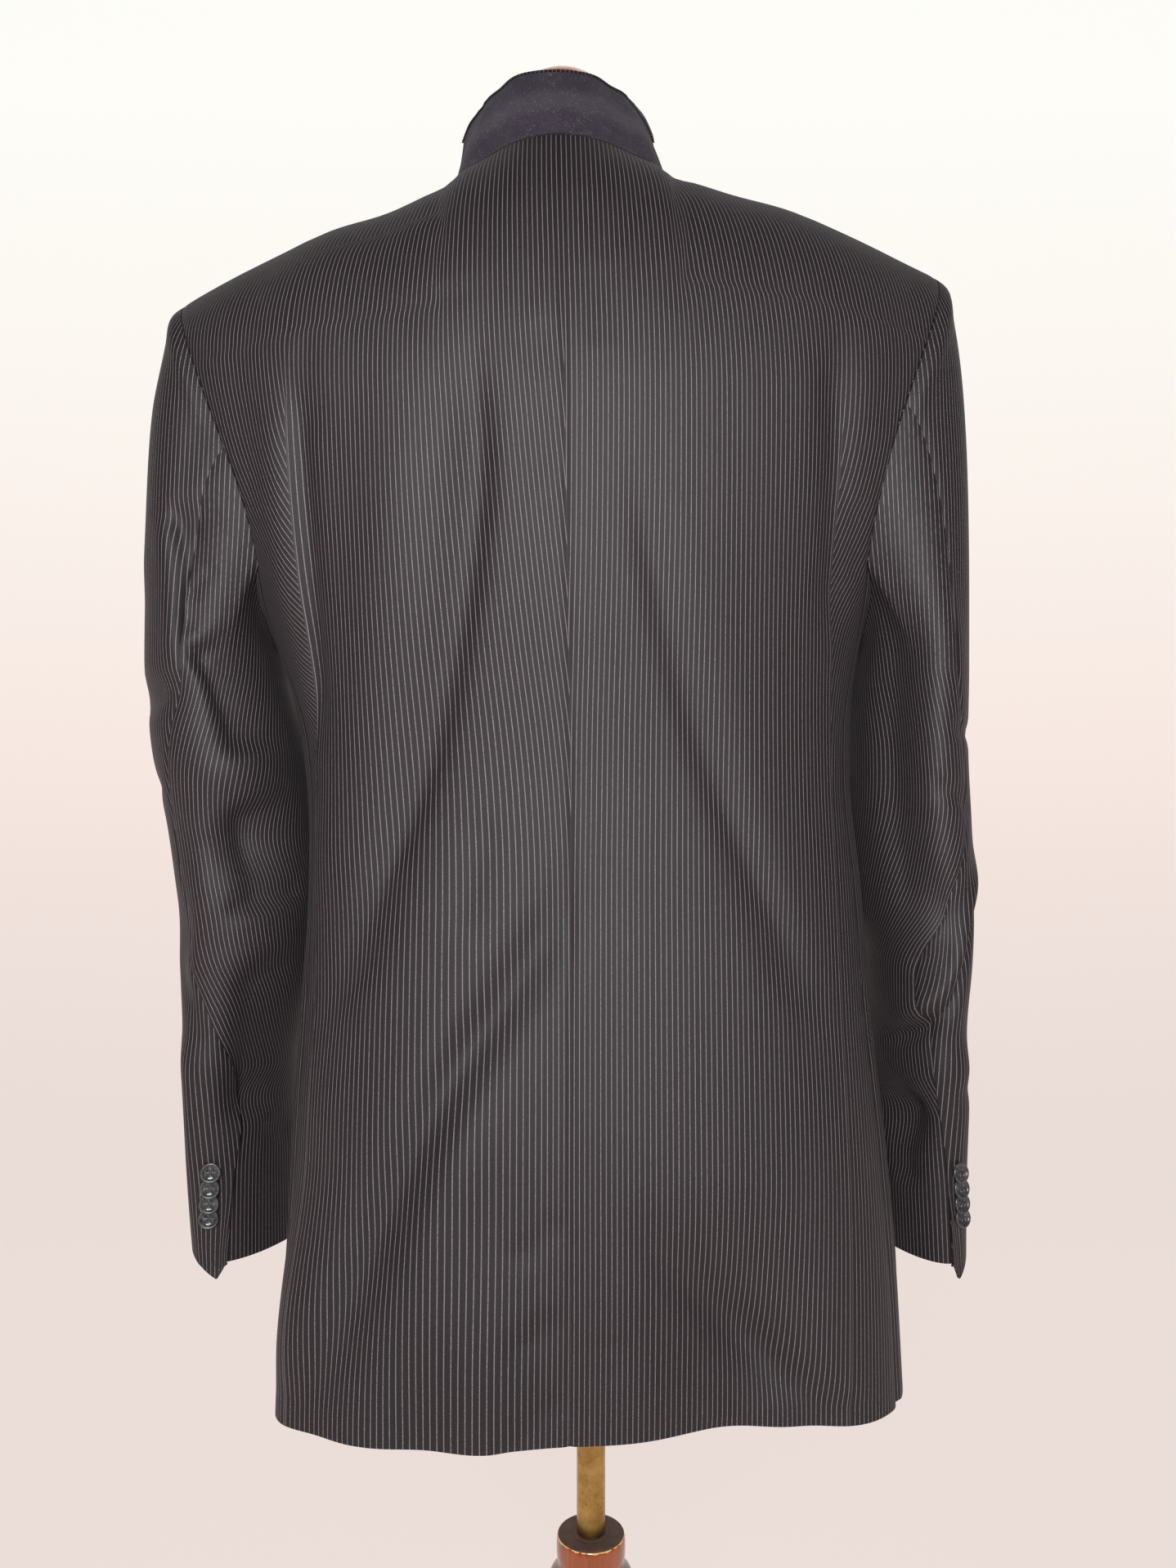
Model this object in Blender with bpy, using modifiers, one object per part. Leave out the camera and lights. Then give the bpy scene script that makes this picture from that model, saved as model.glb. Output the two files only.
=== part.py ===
"""A pinstripe suit blazer with its collar turned up, worn on a limbless dress form.

Metres, +Z up. The origin is on the floor under the pole. The jacket's back faces -Y, so its
left sleeve lies at -X. Every cloth piece is a 2 mm wall between an outer and an inner grid of
points. The torso of the jacket is a stack of half rings, one for each side of the centre back
seam, and every panel is cut out of those half rings along its seams.
"""
import math
from collections import namedtuple

import bmesh
import bpy
import numpy as np
from mathutils import Matrix, Quaternion, Vector

CLOTH = 0.0020
FELT = 0.0015
SEAM_GAP = 0.0003
SEAM_STEP = 0.0012
LAP_STEP = 0.0034
LEFT, RIGHT = -1, 1

HEM_HEIGHT = 0.723
VENT_TOP = 0.965
ARMPIT_DIP = 0.040
SEAM_TOP = 1.235
CHEST_HEIGHT = 1.330
NAPE_HEIGHT = 1.500
NECK_HALF_WIDTH = 0.0720
LAPEL_FOOT = {LEFT: 1.125, RIGHT: 1.200}
SIDE_SEAM_BACK = 0.94
SIDE_SEAM_FRONT = 0.93
UNDERLAP = 0.030
RING_SAMPLES = 181
SHOULDER_RISE = 0.170
SHOULDER_SEAM_BACK = 0.0018
SURFACE_LIFT = 0.0006
SIDE_COLUMNS = (0.0, 0.08, 0.16, 0.32, 0.55, 0.78, 1.0)

# One row for each height of the jacket's torso. seam is the centre back seam's x, left and
# right the half widths from it, back and front the depths from the row's middle at y = mid,
# square and square_front how boxy the half ring is behind and before: 2 is an ellipse.
Torso = namedtuple("Torso", "z seam left right back front mid square square_front")
TORSO = (
    Torso(0.723, -0.0125, 0.182, 0.210, 0.114, 0.116, -0.008, 3.4, 2.8),
    Torso(0.800, -0.0120, 0.180, 0.205, 0.119, 0.116, -0.008, 3.3, 2.8),
    Torso(0.880, -0.0120, 0.178, 0.199, 0.118, 0.114, -0.008, 3.1, 2.7),
    Torso(0.960, -0.0120, 0.174, 0.191, 0.112, 0.111, -0.008, 2.9, 2.7),
    Torso(1.040, -0.0120, 0.170, 0.186, 0.104, 0.110, -0.008, 2.7, 2.6),
    Torso(1.100, -0.0120, 0.172, 0.180, 0.101, 0.112, -0.008, 2.6, 2.6),
    Torso(1.160, -0.0128, 0.182, 0.183, 0.106, 0.117, -0.007, 2.5, 2.5),
    Torso(1.200, -0.0134, 0.196, 0.191, 0.112, 0.121, -0.006, 2.4, 2.4),
    Torso(1.240, -0.0140, 0.215, 0.207, 0.117, 0.123, -0.005, 2.3, 2.3),
    Torso(1.285, -0.0146, 0.238, 0.231, 0.121, 0.123, -0.004, 2.25, 2.2),
    Torso(1.330, -0.0152, 0.254, 0.249, 0.123, 0.120, -0.004, 2.2, 2.2),
    Torso(1.420, -0.0178, 0.288, 0.283, 0.123, 0.120, -0.004, 2.2, 2.2),
    Torso(1.500, -0.0201, 0.302, 0.297, 0.123, 0.120, -0.004, 2.2, 2.2),
)

# The shoulder line: height of the ridge at each distance out from the seam. Inside the neck
# it is the height that the back would reach if the neckline didn't cut it.
Ridge = namedtuple("Ridge", "out left right")
RIDGE = (
    Ridge(-0.030, 1.5240, 1.5240),
    Ridge(0.000, 1.5290, 1.5290),
    Ridge(0.020, 1.5242, 1.5242),
    Ridge(0.046, 1.5078, 1.5100),
    Ridge(0.064, 1.4965, 1.5010),
    Ridge(0.072, 1.4890, 1.4945),
    Ridge(0.085, 1.4825, 1.4910),
    Ridge(0.107, 1.4720, 1.4840),
    Ridge(0.145, 1.4605, 1.4740),
    Ridge(0.185, 1.4425, 1.4575),
    Ridge(0.224, 1.4240, 1.4400),
    Ridge(0.249, 1.4115, 1.4300),
)

# The armhole seam: its distance out from the centre back seam at each height.
Armhole = namedtuple("Armhole", "z left_back right_back front")
ARMHOLE = (
    Armhole(1.235, 0.1915, 0.1845, 0.184),
    Armhole(1.260, 0.1950, 0.1870, 0.182),
    Armhole(1.285, 0.2015, 0.1920, 0.183),
    Armhole(1.310, 0.2105, 0.1985, 0.188),
    Armhole(1.335, 0.2200, 0.2075, 0.197),
    Armhole(1.365, 0.2305, 0.2200, 0.212),
    Armhole(1.395, 0.2400, 0.2320, 0.229),
    Armhole(1.420, 0.2450, 0.2385, 0.241),
)

# The fronts' inner edge, out from the middle: rounded at the hem, past the middle where the
# fronts lap, and the lapel's roll line from the break up to the neck.
Opening = namedtuple("Opening", "z out")
OPENING = (
    Opening(0.723, 0.058),
    Opening(0.732, 0.036),
    Opening(0.750, 0.018),
    Opening(0.790, 0.001),
    Opening(0.860, -0.012),
    Opening(0.950, -0.018),
    Opening(1.090, -0.018),
    Opening(1.200, 0.004),
    Opening(1.330, 0.032),
    Opening(1.430, 0.0540),
    Opening(1.500, 0.0720),
)

# The largest folds of the hanging cloth on the back: a path from its top to its foot with a
# sideways bow, the half width and how far the cloth stands out (or sinks, below zero).
Fold = namedtuple("Fold", "x_top z_top x_low z_low bow wide out")
FOLDS = (
    Fold(-0.066, 1.345, -0.155, 0.960, 0.020, 0.016, -0.0050),
    Fold(-0.110, 1.330, -0.172, 1.020, 0.012, 0.022, 0.0040),
    Fold(-0.020, 1.030, -0.160, 0.740, -0.012, 0.017, -0.0060),
    Fold(-0.070, 0.930, -0.118, 0.730, 0.000, 0.024, 0.0050),
    Fold(-0.172, 1.330, -0.164, 1.140, 0.000, 0.009, -0.0075),
    Fold(-0.190, 1.330, -0.186, 1.200, 0.000, 0.012, 0.0050),
    Fold(0.145, 1.360, 0.147, 1.200, 0.000, 0.010, -0.0060),
    Fold(0.028, 1.270, 0.130, 0.960, -0.008, 0.014, -0.0030),
    Fold(0.030, 0.860, 0.135, 0.735, -0.006, 0.019, -0.0060),
    Fold(-0.060, 0.800, -0.064, 0.723, 0.000, 0.030, 0.0090),
    Fold(0.085, 0.800, 0.085, 0.723, 0.000, 0.045, -0.0190),
    Fold(-0.170, 0.810, -0.172, 0.723, 0.000, 0.040, 0.0140),
)

# The raised collar: from its foot on the neckline to its top edge, towards the middle, forwards
# and up, at each distance along the neckline from the nape.
Rise = namedtuple("Rise", "along inward forward up")
COLLAR_RISE = (
    Rise(0.000, 0.0000, 0.0350, 0.0590),
    Rise(0.020, -0.0010, 0.0330, 0.0585),
    Rise(0.050, 0.0090, 0.0325, 0.0605),
    Rise(0.075, 0.0175, 0.0290, 0.0635),
    Rise(0.105, 0.0185, 0.0130, 0.0640),
    Rise(0.130, 0.0100, 0.0050, 0.0660),
    Rise(0.165, -0.0080, 0.0060, 0.0640),
)

# The lapel, measured along its roll line from the nape: its width and how far it stands off the
# chest, in degrees.
Flap = namedtuple("Flap", "along angle lapel")
FLAP = (
    Flap(0.165, 58.0, 0.078),
    Flap(0.210, 22.0, 0.076),
    Flap(0.270, 14.0, 0.074),
    Flap(0.350, 9.0, 0.056),
    Flap(0.430, 7.0, 0.036),
    Flap(0.560, 6.0, 0.004),
)
GORGE = 0.165
TURN_START = 0.145
TURN_LENGTH = 0.065
COLLAR_ROLL = 0.0022
COLLAR_LEAN = -0.0035
NOTCH_START = 0.55
NOTCH_COLLAR = 0.022
NOTCH_LAPEL = 0.012

# Each sleeve below the armpit: its middle, its half thickness and half depth, the turn of its
# depth towards the body's front, and around it, in degrees from the outer side backwards, the
# top sleeve's hind edge (lap) and the seam inside the arm (front).
Sleeve = namedtuple("Sleeve", "z x y thin deep turn lap front")
SLEEVES = {
    LEFT: (
        Sleeve(0.786, -0.2321, 0.034, 0.0240, 0.055, 22.0, 118.0, -112.0),
        Sleeve(0.845, -0.2340, 0.024, 0.0260, 0.057, 19.0, 128.0, -112.0),
        Sleeve(0.910, -0.2359, 0.014, 0.0280, 0.059, 15.0, 136.0, -112.0),
        Sleeve(0.950, -0.2315, 0.008, 0.0334, 0.061, 13.0, 102.0, -112.0),
        Sleeve(0.985, -0.2295, 0.004, 0.0406, 0.062, 11.0, 75.0, -112.0),
        Sleeve(1.025, -0.2278, 0.001, 0.0421, 0.064, 9.0, 63.0, -112.0),
        Sleeve(1.070, -0.2306, -0.001, 0.0444, 0.067, 6.0, 56.0, -112.0),
        Sleeve(1.120, -0.2383, -0.002, 0.0470, 0.071, 3.0, 67.0, -112.0),
        Sleeve(1.170, -0.2480, 0.000, 0.0430, 0.075, 0.0, 88.0, -112.0),
    ),
    RIGHT: (
        Sleeve(0.786, 0.2216, 0.034, 0.0220, 0.054, 16.0, 92.0, -112.0),
        Sleeve(0.845, 0.2184, 0.024, 0.0240, 0.057, 13.0, 96.0, -112.0),
        Sleeve(0.910, 0.2178, 0.014, 0.0255, 0.060, 10.0, 110.0, -112.0),
        Sleeve(0.950, 0.2164, 0.008, 0.0265, 0.062, 9.0, 119.0, -112.0),
        Sleeve(0.985, 0.2167, 0.004, 0.0290, 0.064, 8.0, 131.0, -112.0),
        Sleeve(1.025, 0.2157, 0.001, 0.0315, 0.067, 6.0, 92.0, -112.0),
        Sleeve(1.070, 0.2121, -0.001, 0.0338, 0.070, 4.0, 62.0, -112.0),
        Sleeve(1.120, 0.2104, -0.002, 0.0330, 0.074, 2.0, 58.0, -112.0),
        Sleeve(1.170, 0.2124, 0.000, 0.0325, 0.078, 0.0, 70.0, -112.0),
    ),
}
# Rows of the sleeves' points: heights up to the armpit, then shares of the way to the armhole.
ARM_ROWS = (0.786, 0.810, 0.845, 0.880, 0.912, 0.928, 0.945,
            0.980, 1.015, 1.050, 1.085, 1.125, 1.170)
HEAD_ROWS = (0.18, 0.36, 0.54, 0.70, 0.84, 0.94, 1.0)
CUFF_TIP = 0.007
CUFF_VENT_TOP = 0.915
CUFF_UNDERLAP = 26.0
HIND_LEVEL = {LEFT: 1.305, RIGHT: 1.330}
FRONT_LEVEL = 1.270

# The sleeves' largest folds: around in degrees from the outer side, height, half sizes and how
# far the cloth stands out.
Dent = namedtuple("Dent", "side around z wide tall out")
DENTS = (
    Dent(LEFT, 60.0, 1.155, 60.0, 0.012, -0.005),
    Dent(LEFT, 120.0, 1.060, 40.0, 0.022, -0.010),
    Dent(LEFT, 115.0, 1.110, 35.0, 0.018, 0.006),
    Dent(LEFT, 60.0, 1.000, 30.0, 0.030, -0.005),
    Dent(RIGHT, 100.0, 1.020, 30.0, 0.020, -0.007),
    Dent(RIGHT, 130.0, 0.960, 35.0, 0.014, 0.005),
    Dent(RIGHT, 150.0, 0.880, 30.0, 0.020, -0.006),
)

BUTTON = 0.0127
FRONT_BUTTON = 0.0200
CUFF_BUTTON_HEIGHTS = (0.8530, 0.8422, 0.8318, 0.8215)
CUFF_BUTTON_TILT = 20.0
CUFF_BUTTON_THICK = 0.0023
CUFF_BUTTON_SINK = 0.0002
CUFF_BUTTON_INSET = {LEFT: 22.0, RIGHT: 12.0}
FRONT_BUTTON_HEIGHTS = (1.075, 0.965)
FRONT_BUTTON_THICK = 0.0032

# The dress form: half width, depths behind and before its middle, the middle's y and how boxy
# each ring is. It leans with its pole's head towards the jacket's left.
Form = namedtuple("Form", "z half back front mid square")
FORM = (
    Form(0.800, 0.128, 0.080, 0.080, -0.006, 2.2),
    Form(0.812, 0.146, 0.094, 0.092, -0.006, 2.3),
    Form(0.870, 0.156, 0.102, 0.096, -0.006, 2.3),
    Form(0.950, 0.148, 0.094, 0.092, -0.006, 2.3),
    Form(1.040, 0.136, 0.084, 0.090, -0.006, 2.2),
    Form(1.120, 0.140, 0.088, 0.098, -0.006, 2.2),
    Form(1.220, 0.158, 0.098, 0.106, -0.006, 2.2),
    Form(1.300, 0.166, 0.102, 0.104, -0.006, 2.1),
    Form(1.370, 0.170, 0.094, 0.090, -0.005, 2.0),
    Form(1.410, 0.170, 0.082, 0.076, -0.004, 1.8),
    Form(1.4400, 0.166, 0.072, 0.062, -0.003, 1.7),
    Form(1.4590, 0.153, 0.067, 0.056, -0.002, 1.6),
    Form(1.4663, 0.137, 0.064, 0.052, -0.001, 1.6),
    Form(1.4741, 0.112, 0.060, 0.048, 0.001, 1.6),
    Form(1.4828, 0.078, 0.054, 0.044, 0.005, 1.8),
    Form(1.4920, 0.0570, 0.049, 0.044, 0.010, 1.9),
    Form(1.5040, 0.0500, 0.046, 0.045, 0.015, 2.0),
    Form(1.5388, 0.0465, 0.0445, 0.0445, 0.020, 2.0),
)
SHOULDER_TILT = 0.024
LEAN = math.radians(1.5)
FORM_BOTTOM = FORM[0].z
NECK_TOP = FORM[-1].z
NECK_MID = FORM[-1].mid
CAP_RADIUS = 0.044
CAP_HEIGHT = 0.0475

POLE_DIAMETER = 0.019
STEM_TOP = 0.600
BASE_DIAMETER = 0.360
BASE_THICKNESS = 0.028


def column(table, name):
    """One named column of a table, as an array."""
    return np.array([getattr(row, name) for row in table], float)


def blend(knots, values, at):
    """A smooth curve through a table's rows, read at one or more places."""
    knots = np.asarray(knots, float)
    values = np.asarray(values, float)
    at = np.clip(np.asarray(at, float), knots[0], knots[-1])
    slope = np.gradient(values, knots)
    low = np.clip(np.searchsorted(knots, at, side="right") - 1, 0, len(knots) - 2)
    span = knots[low + 1] - knots[low]
    f = (at - knots[low]) / span
    start = values[low] * (2 * f**3 - 3 * f**2 + 1) + values[low + 1] * (3 * f**2 - 2 * f**3)
    turns = slope[low] * (f**3 - 2 * f**2 + f) + slope[low + 1] * (f**3 - f**2)
    return start + turns * span


def read(table, name, at, key="z"):
    """A named column of a table at a place along its key column."""
    return blend(column(table, key), column(table, name), at)


def ease(f):
    """A soft step from 0 to 1."""
    f = np.clip(f, 0.0, 1.0)
    return f * f * (3.0 - 2.0 * f)


def unit(vectors):
    """Vectors of length one."""
    return vectors / np.maximum(np.linalg.norm(vectors, axis=-1, keepdims=True), 1e-12)


def half_rings(side, level):
    """The jacket's half ring at each level, from the centre back around to the front.

    Up to CHEST_HEIGHT a level is a height. Above it, level - CHEST_HEIGHT goes from 0 to 1 as
    the cloth rises and turns over to the neckline and the shoulder line.
    """
    level = np.atleast_1d(np.asarray(level, float))[:, None]
    turn = np.radians(np.linspace(0.0, 190.0, RING_SAMPLES))[None, :]
    z = np.minimum(level, CHEST_HEIGHT)
    over = np.clip(level - CHEST_HEIGHT, 0.0, 1.1)
    name = "left" if side == LEFT else "right"
    behind = np.cos(turn) > 0.0
    half = read(TORSO, name, z + over * SHOULDER_RISE)
    power = 2.0 / np.where(behind, read(TORSO, "square", z), read(TORSO, "square_front", z))
    out = half * np.sign(np.sin(turn)) * np.abs(np.sin(turn)) ** power
    deep = np.where(behind, read(TORSO, "back", z), -read(TORSO, "front", z))
    ridge = read(RIDGE, name, out, "out")
    neck_end = float(read(RIDGE, name, NECK_HALF_WIDTH, "out"))
    neck = NAPE_HEIGHT + (neck_end - NAPE_HEIGHT) * (np.clip(out / NECK_HALF_WIDTH, 0.0, 1.0)) ** 1.5
    cut = behind & (out < NECK_HALF_WIDTH)
    reach = np.where(cut, (neck - CHEST_HEIGHT) / (ridge - CHEST_HEIGHT), 1.0)
    angle = over * np.arcsin(np.clip(reach, 0.0, 1.0))
    rise = (ridge - CHEST_HEIGHT) * np.sin(angle)
    height = z + rise
    seam = read(TORSO, "seam", height)
    x = seam + side * out
    depth = deep * np.abs(np.cos(turn)) ** power
    y = read(TORSO, "mid", z) * np.cos(angle) - depth * np.cos(angle)
    return np.stack([x, y, height], axis=-1), out


def arcs(rings):
    """Distance along each half ring at each of its points."""
    steps = np.linalg.norm(np.diff(rings, axis=1), axis=-1)
    return np.concatenate([np.zeros((len(rings), 1)), np.cumsum(steps, axis=1)], axis=1)


def places(side, level, rings, out, arc):
    """Distances along each half ring of the side panel's two edges and the opening."""
    level = np.atleast_1d(np.asarray(level, float))
    name = "left" if side == LEFT else "right"
    widest = np.argmax(out, axis=1)
    found = np.zeros((3, len(level)))
    for i, value in enumerate(level):
        w = widest[i]
        z = min(value, CHEST_HEIGHT)
        half = read(TORSO, name, z)
        back_out = half * SIDE_SEAM_BACK
        front_out = half * SIDE_SEAM_FRONT
        if value > SEAM_TOP - 1e-9:
            over = min(max(value - CHEST_HEIGHT, 0.0), 1.1)
            ridge = read(RIDGE, name, 0.24, "out")
            height = z + (ridge - CHEST_HEIGHT) * math.sin(over * math.pi / 2)
            back_out = read(ARMHOLE, name + "_back", height)
            front_out = read(ARMHOLE, "front", height)
        elif value > SEAM_TOP - 0.10:
            near = float(ease((value - SEAM_TOP + 0.10) / 0.10))
            back_out += near * (read(ARMHOLE, name + "_back", SEAM_TOP) - back_out)
            front_out += near * (read(ARMHOLE, "front", SEAM_TOP) - front_out)
        found[0, i] = np.interp(back_out, out[i, : w + 1], arc[i, : w + 1])
        found[1, i] = np.interp(-front_out, -out[i, w:], arc[i, w:])
        height = z + SHOULDER_RISE * math.sin((value - z) * math.pi / 2)
        inner = read(OPENING, "out", height)
        found[2, i] = np.interp(-inner, -out[i, w:], arc[i, w:])
    return found


def on_rings(rings, arc, where):
    """The point of each half ring at a distance along it."""
    points = np.empty((len(rings), 3))
    for i in range(len(rings)):
        for axis in range(3):
            points[i, axis] = np.interp(where[i], arc[i], rings[i, :, axis])
    return points


def panel_point(piece, side, across, level):
    """Points of a torso panel: across runs from 0 to 1 between its edges."""
    shape = across.shape
    across = across.ravel()
    level = level.ravel()
    rings, out = half_rings(side, level)
    arc = arcs(rings)
    back_edge, front_edge, inner = places(side, level, rings, out, arc)
    inset = SEAM_GAP / 2
    if piece == "back":
        start, end = np.full_like(back_edge, inset), back_edge - inset
    elif piece == "side":
        lap = UNDERLAP * ease((VENT_TOP - level) / 0.030)
        start, end = back_edge + inset - lap, front_edge - inset
    else:
        start, end = front_edge + inset, inner
    where = start + across * (end - start)
    return on_rings(rings, arc, where).reshape(shape + (3,)), (where - back_edge).reshape(shape)


def normals(point_of, side, across, level):
    """Outward unit normals, from the surface's slope both ways."""
    step = 0.004
    along = point_of(side, across + step, level)[0] - point_of(side, across - step, level)[0]
    up = point_of(side, across, level + step)[0] - point_of(side, across, level - step)[0]
    return unit(np.cross(along, up) * side)


def fold_height(points):
    """How far the back's folds push the cloth out at each point."""
    total = np.zeros(points.shape[:-1])
    for fold in FOLDS:
        f = (fold.z_top - points[..., 2]) / (fold.z_top - fold.z_low)
        inside = np.clip(f, 0.0, 1.0)
        path = fold.x_top + (fold.x_low - fold.x_top) * inside
        path = path + fold.bow * 4.0 * inside * (1.0 - inside)
        across = (points[..., 0] - path) / fold.wide
        fade = ease((f + 0.15) / 0.30)
        if fold.z_low > HEM_HEIGHT + 0.03:
            fade = fade * ease((1.15 - f) / 0.30)
        total += fold.out * np.exp(-across * across) * fade
    return total


def cloth_panel(piece, side, across, level):
    """Outer and inner points of a torso panel."""
    def point_of(which, a, b):
        return panel_point(piece, which, a, b)

    points, past_seam = point_of(side, across, level)
    facing = normals(point_of, side, across, level)
    if piece == "back":
        middle = across < 1e-9
        facing[middle, 0] = 0.0
        facing = unit(facing)
    behind = ease(-facing[..., 1] * 1.6 - 0.2)
    push = fold_height(points) * behind
    if piece == "side":
        sunk = ease((0.990 - level) / 0.020)
        push = push - (CLOTH + 0.0020) * sunk * (1.0 - ease((past_seam - 0.001) / 0.012))
    if piece == "front" and side == LEFT:
        out = -(points[..., 0] - read(TORSO, "seam", points[..., 2]))
        push = push + LAP_STEP * (1.0 - ease((out - 0.022) / 0.030))
    outer = points + facing * push[..., None]
    return outer, outer - facing * CLOTH


def mesh_object(name, vertices, faces, material):
    """A closed mesh with its faces turned outwards."""
    mesh = bpy.data.meshes.new(name)
    mesh.from_pydata([tuple(v) for v in vertices], [], faces)
    shape = bmesh.new()
    shape.from_mesh(mesh)
    bmesh.ops.recalc_face_normals(shape, faces=shape.faces)
    shape.to_mesh(mesh)
    shape.free()
    mesh.shade_smooth()
    mesh.set_sharp_from_angle(angle=math.radians(50))
    thing = bpy.data.objects.new(name, mesh)
    thing.data.materials.append(material)
    PARTS.objects.link(thing)
    return thing


def wall(name, outer, inner, material):
    """A cloth wall between two grids of points, both split along the shorter diagonals."""
    rows, cols = outer.shape[:2]
    vertices = np.concatenate([outer.reshape(-1, 3), inner.reshape(-1, 3)])
    rising = np.linalg.norm(outer[1:, 1:] - outer[:-1, :-1], axis=-1)
    falling = np.linalg.norm(outer[1:, :-1] - outer[:-1, 1:], axis=-1)
    skewed = falling < rising * 0.98
    back = rows * cols
    faces = []
    for r in range(rows - 1):
        for c in range(cols - 1):
            a = r * cols + c
            corners = (a, a + 1, a + cols + 1, a + cols)
            if skewed[r, c]:
                corners = corners[1:] + corners[:1]
            halves = (corners[:3], (corners[0],) + corners[2:])
            faces += halves
            faces += [tuple(back + i for i in half[::-1]) for half in halves]
    for c in range(cols - 1):
        for a in (c, (rows - 1) * cols + c):
            faces.append((a, a + 1, back + a + 1, back + a))
    for r in range(rows - 1):
        for a in (r * cols, r * cols + cols - 1):
            faces.append((a, a + cols, back + a + cols, back + a))
    return mesh_object(name, vertices, faces, material)


def stacked_rings(name, rings, material):
    """A solid through closed rings of equal count, with a flat cap at each end."""
    count = len(rings[0])
    vertices = np.concatenate(rings)
    faces = []
    for r in range(len(rings) - 1):
        for c in range(count):
            d = (c + 1) % count
            faces.append((r * count + c, r * count + d, (r + 1) * count + d, (r + 1) * count + c))
    faces.append(tuple(range(count)))
    faces.append(tuple(range((len(rings) - 1) * count, len(rings) * count)))
    return mesh_object(name, vertices, faces, material)


def finish(name, color, roughness, metallic=0.0):
    """A plain material for one piece."""
    material = bpy.data.materials.new(name)
    material.use_nodes = True
    shader = material.node_tree.nodes["Principled BSDF"]
    shader.inputs["Base Color"].default_value = (*color, 1.0)
    shader.inputs["Roughness"].default_value = roughness
    shader.inputs["Metallic"].default_value = metallic
    return material


def turned(name, profile, steps, material, location=(0.0, 0.0, 0.0), tilt=None):
    """A turned piece: a profile of radius and height, top to bottom, swept round its axis."""
    mesh = bpy.data.meshes.new(name)
    points = [(radius, 0.0, height) for radius, height in profile]
    mesh.from_pydata(points, [(i, i + 1) for i in range(len(points) - 1)], [])
    thing = bpy.data.objects.new(name, mesh)
    PARTS.objects.link(thing)
    screw = thing.modifiers.new("Turn", "SCREW")
    screw.axis = "Z"
    screw.steps = steps
    screw.render_steps = steps
    screw.use_merge_vertices = True
    screw.merge_threshold = 0.00001
    screw.use_smooth_shade = True
    thing.data.materials.append(material)
    thing.location = location
    if tilt is not None:
        thing.rotation_mode = "QUATERNION"
        thing.rotation_quaternion = tilt
    return thing


def lower_levels():
    """Heights of the rows from the hem to the top of the side seams."""
    return np.array([HEM_HEIGHT, 0.750, 0.790, 0.830, 0.870, 0.910, 0.940, VENT_TOP, 1.000,
                     1.040, 1.080, 1.120, 1.155, 1.185, 1.210, SEAM_TOP])


def upper_levels():
    """Levels of the rows from the side seams' top to the shoulder line."""
    over = np.array([0.16, 0.32, 0.47, 0.61, 0.74, 0.86, 0.95, 1.0])
    return np.concatenate([[1.270, 1.305, CHEST_HEIGHT], CHEST_HEIGHT + over])


def body_levels():
    """All rows of a back or a front, stopping just short of the shoulder seam."""
    levels = np.concatenate([lower_levels(), upper_levels()])
    levels[-1] = CHEST_HEIGHT + 1.0 - SHOULDER_SEAM_BACK
    return levels


def back_panel(side, material):
    """One half of the back, from the centre seam to the side seam and armhole."""
    across = np.array([0.0, 0.07, 0.14, 0.21, 0.30, 0.41, 0.53, 0.65, 0.77, 0.86, 0.93, 1.0])
    level, col = np.meshgrid(body_levels(), across, indexing="ij")
    outer, inner = cloth_panel("back", side, col, level)
    return wall("back_left" if side == LEFT else "back_right", outer, inner, material)


def side_top(across):
    """The under arm edge of the side panel dips between the two side seams."""
    return SEAM_TOP - ARMPIT_DIP * np.sin(np.pi * np.clip(across, 0.0, 1.0)) ** 0.8


def side_panel(side, material):
    """The panel under the arm, with the underlap of the side vent along its back edge."""
    level, col = np.meshgrid(lower_levels(), SIDE_COLUMNS, indexing="ij")
    stretch = (side_top(col) - HEM_HEIGHT) / (SEAM_TOP - HEM_HEIGHT)
    level = HEM_HEIGHT + (level - HEM_HEIGHT) * stretch
    outer, inner = cloth_panel("side", side, col, level)
    return wall("side_left" if side == LEFT else "side_right", outer, inner, material)


def front_panel(side, material):
    """One front, from the side seam and armhole to the opening and the roll line."""
    across = np.array([0.0, 0.10, 0.22, 0.36, 0.50, 0.65, 0.80, 0.91, 1.0])
    level, col = np.meshgrid(body_levels(), across, indexing="ij")
    outer, inner = cloth_panel("front", side, col, level)
    return wall("front_left" if side == LEFT else "front_right", outer, inner, material)


def armhole_loop(side):
    """The armhole seam: up the back edge, down the front edge, round under the arm.

    With each point go the panel's outward normal and the direction across the armhole.
    """
    levels = body_levels()[len(lower_levels()) - 1:]
    one = np.ones_like(levels)
    across = np.array(SIDE_COLUMNS[-2:0:-1])
    edges = (
        cloth_panel("back", side, one, levels),
        [rows[::-1] for rows in cloth_panel("front", side, 0 * one, levels)],
        cloth_panel("side", side, across, side_top(across)),
    )
    loop = np.concatenate([edge[0] for edge in edges])
    under = np.concatenate([edge[1] for edge in edges])
    top = len(levels) - 1
    hind = int(np.argmin(np.abs(levels - HIND_LEVEL[side])))
    front = top + 1 + (top - int(np.argmin(np.abs(levels - FRONT_LEVEL))))
    seat = unit(loop - under)
    tangent = unit(np.roll(loop, -1, axis=0) - np.roll(loop, 1, axis=0))
    inward = loop.mean(axis=0) - loop
    for axis in (seat, tangent):
        inward = inward - axis * np.sum(inward * axis, axis=1, keepdims=True)
    return loop, seat, unit(inward), hind, front


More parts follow.
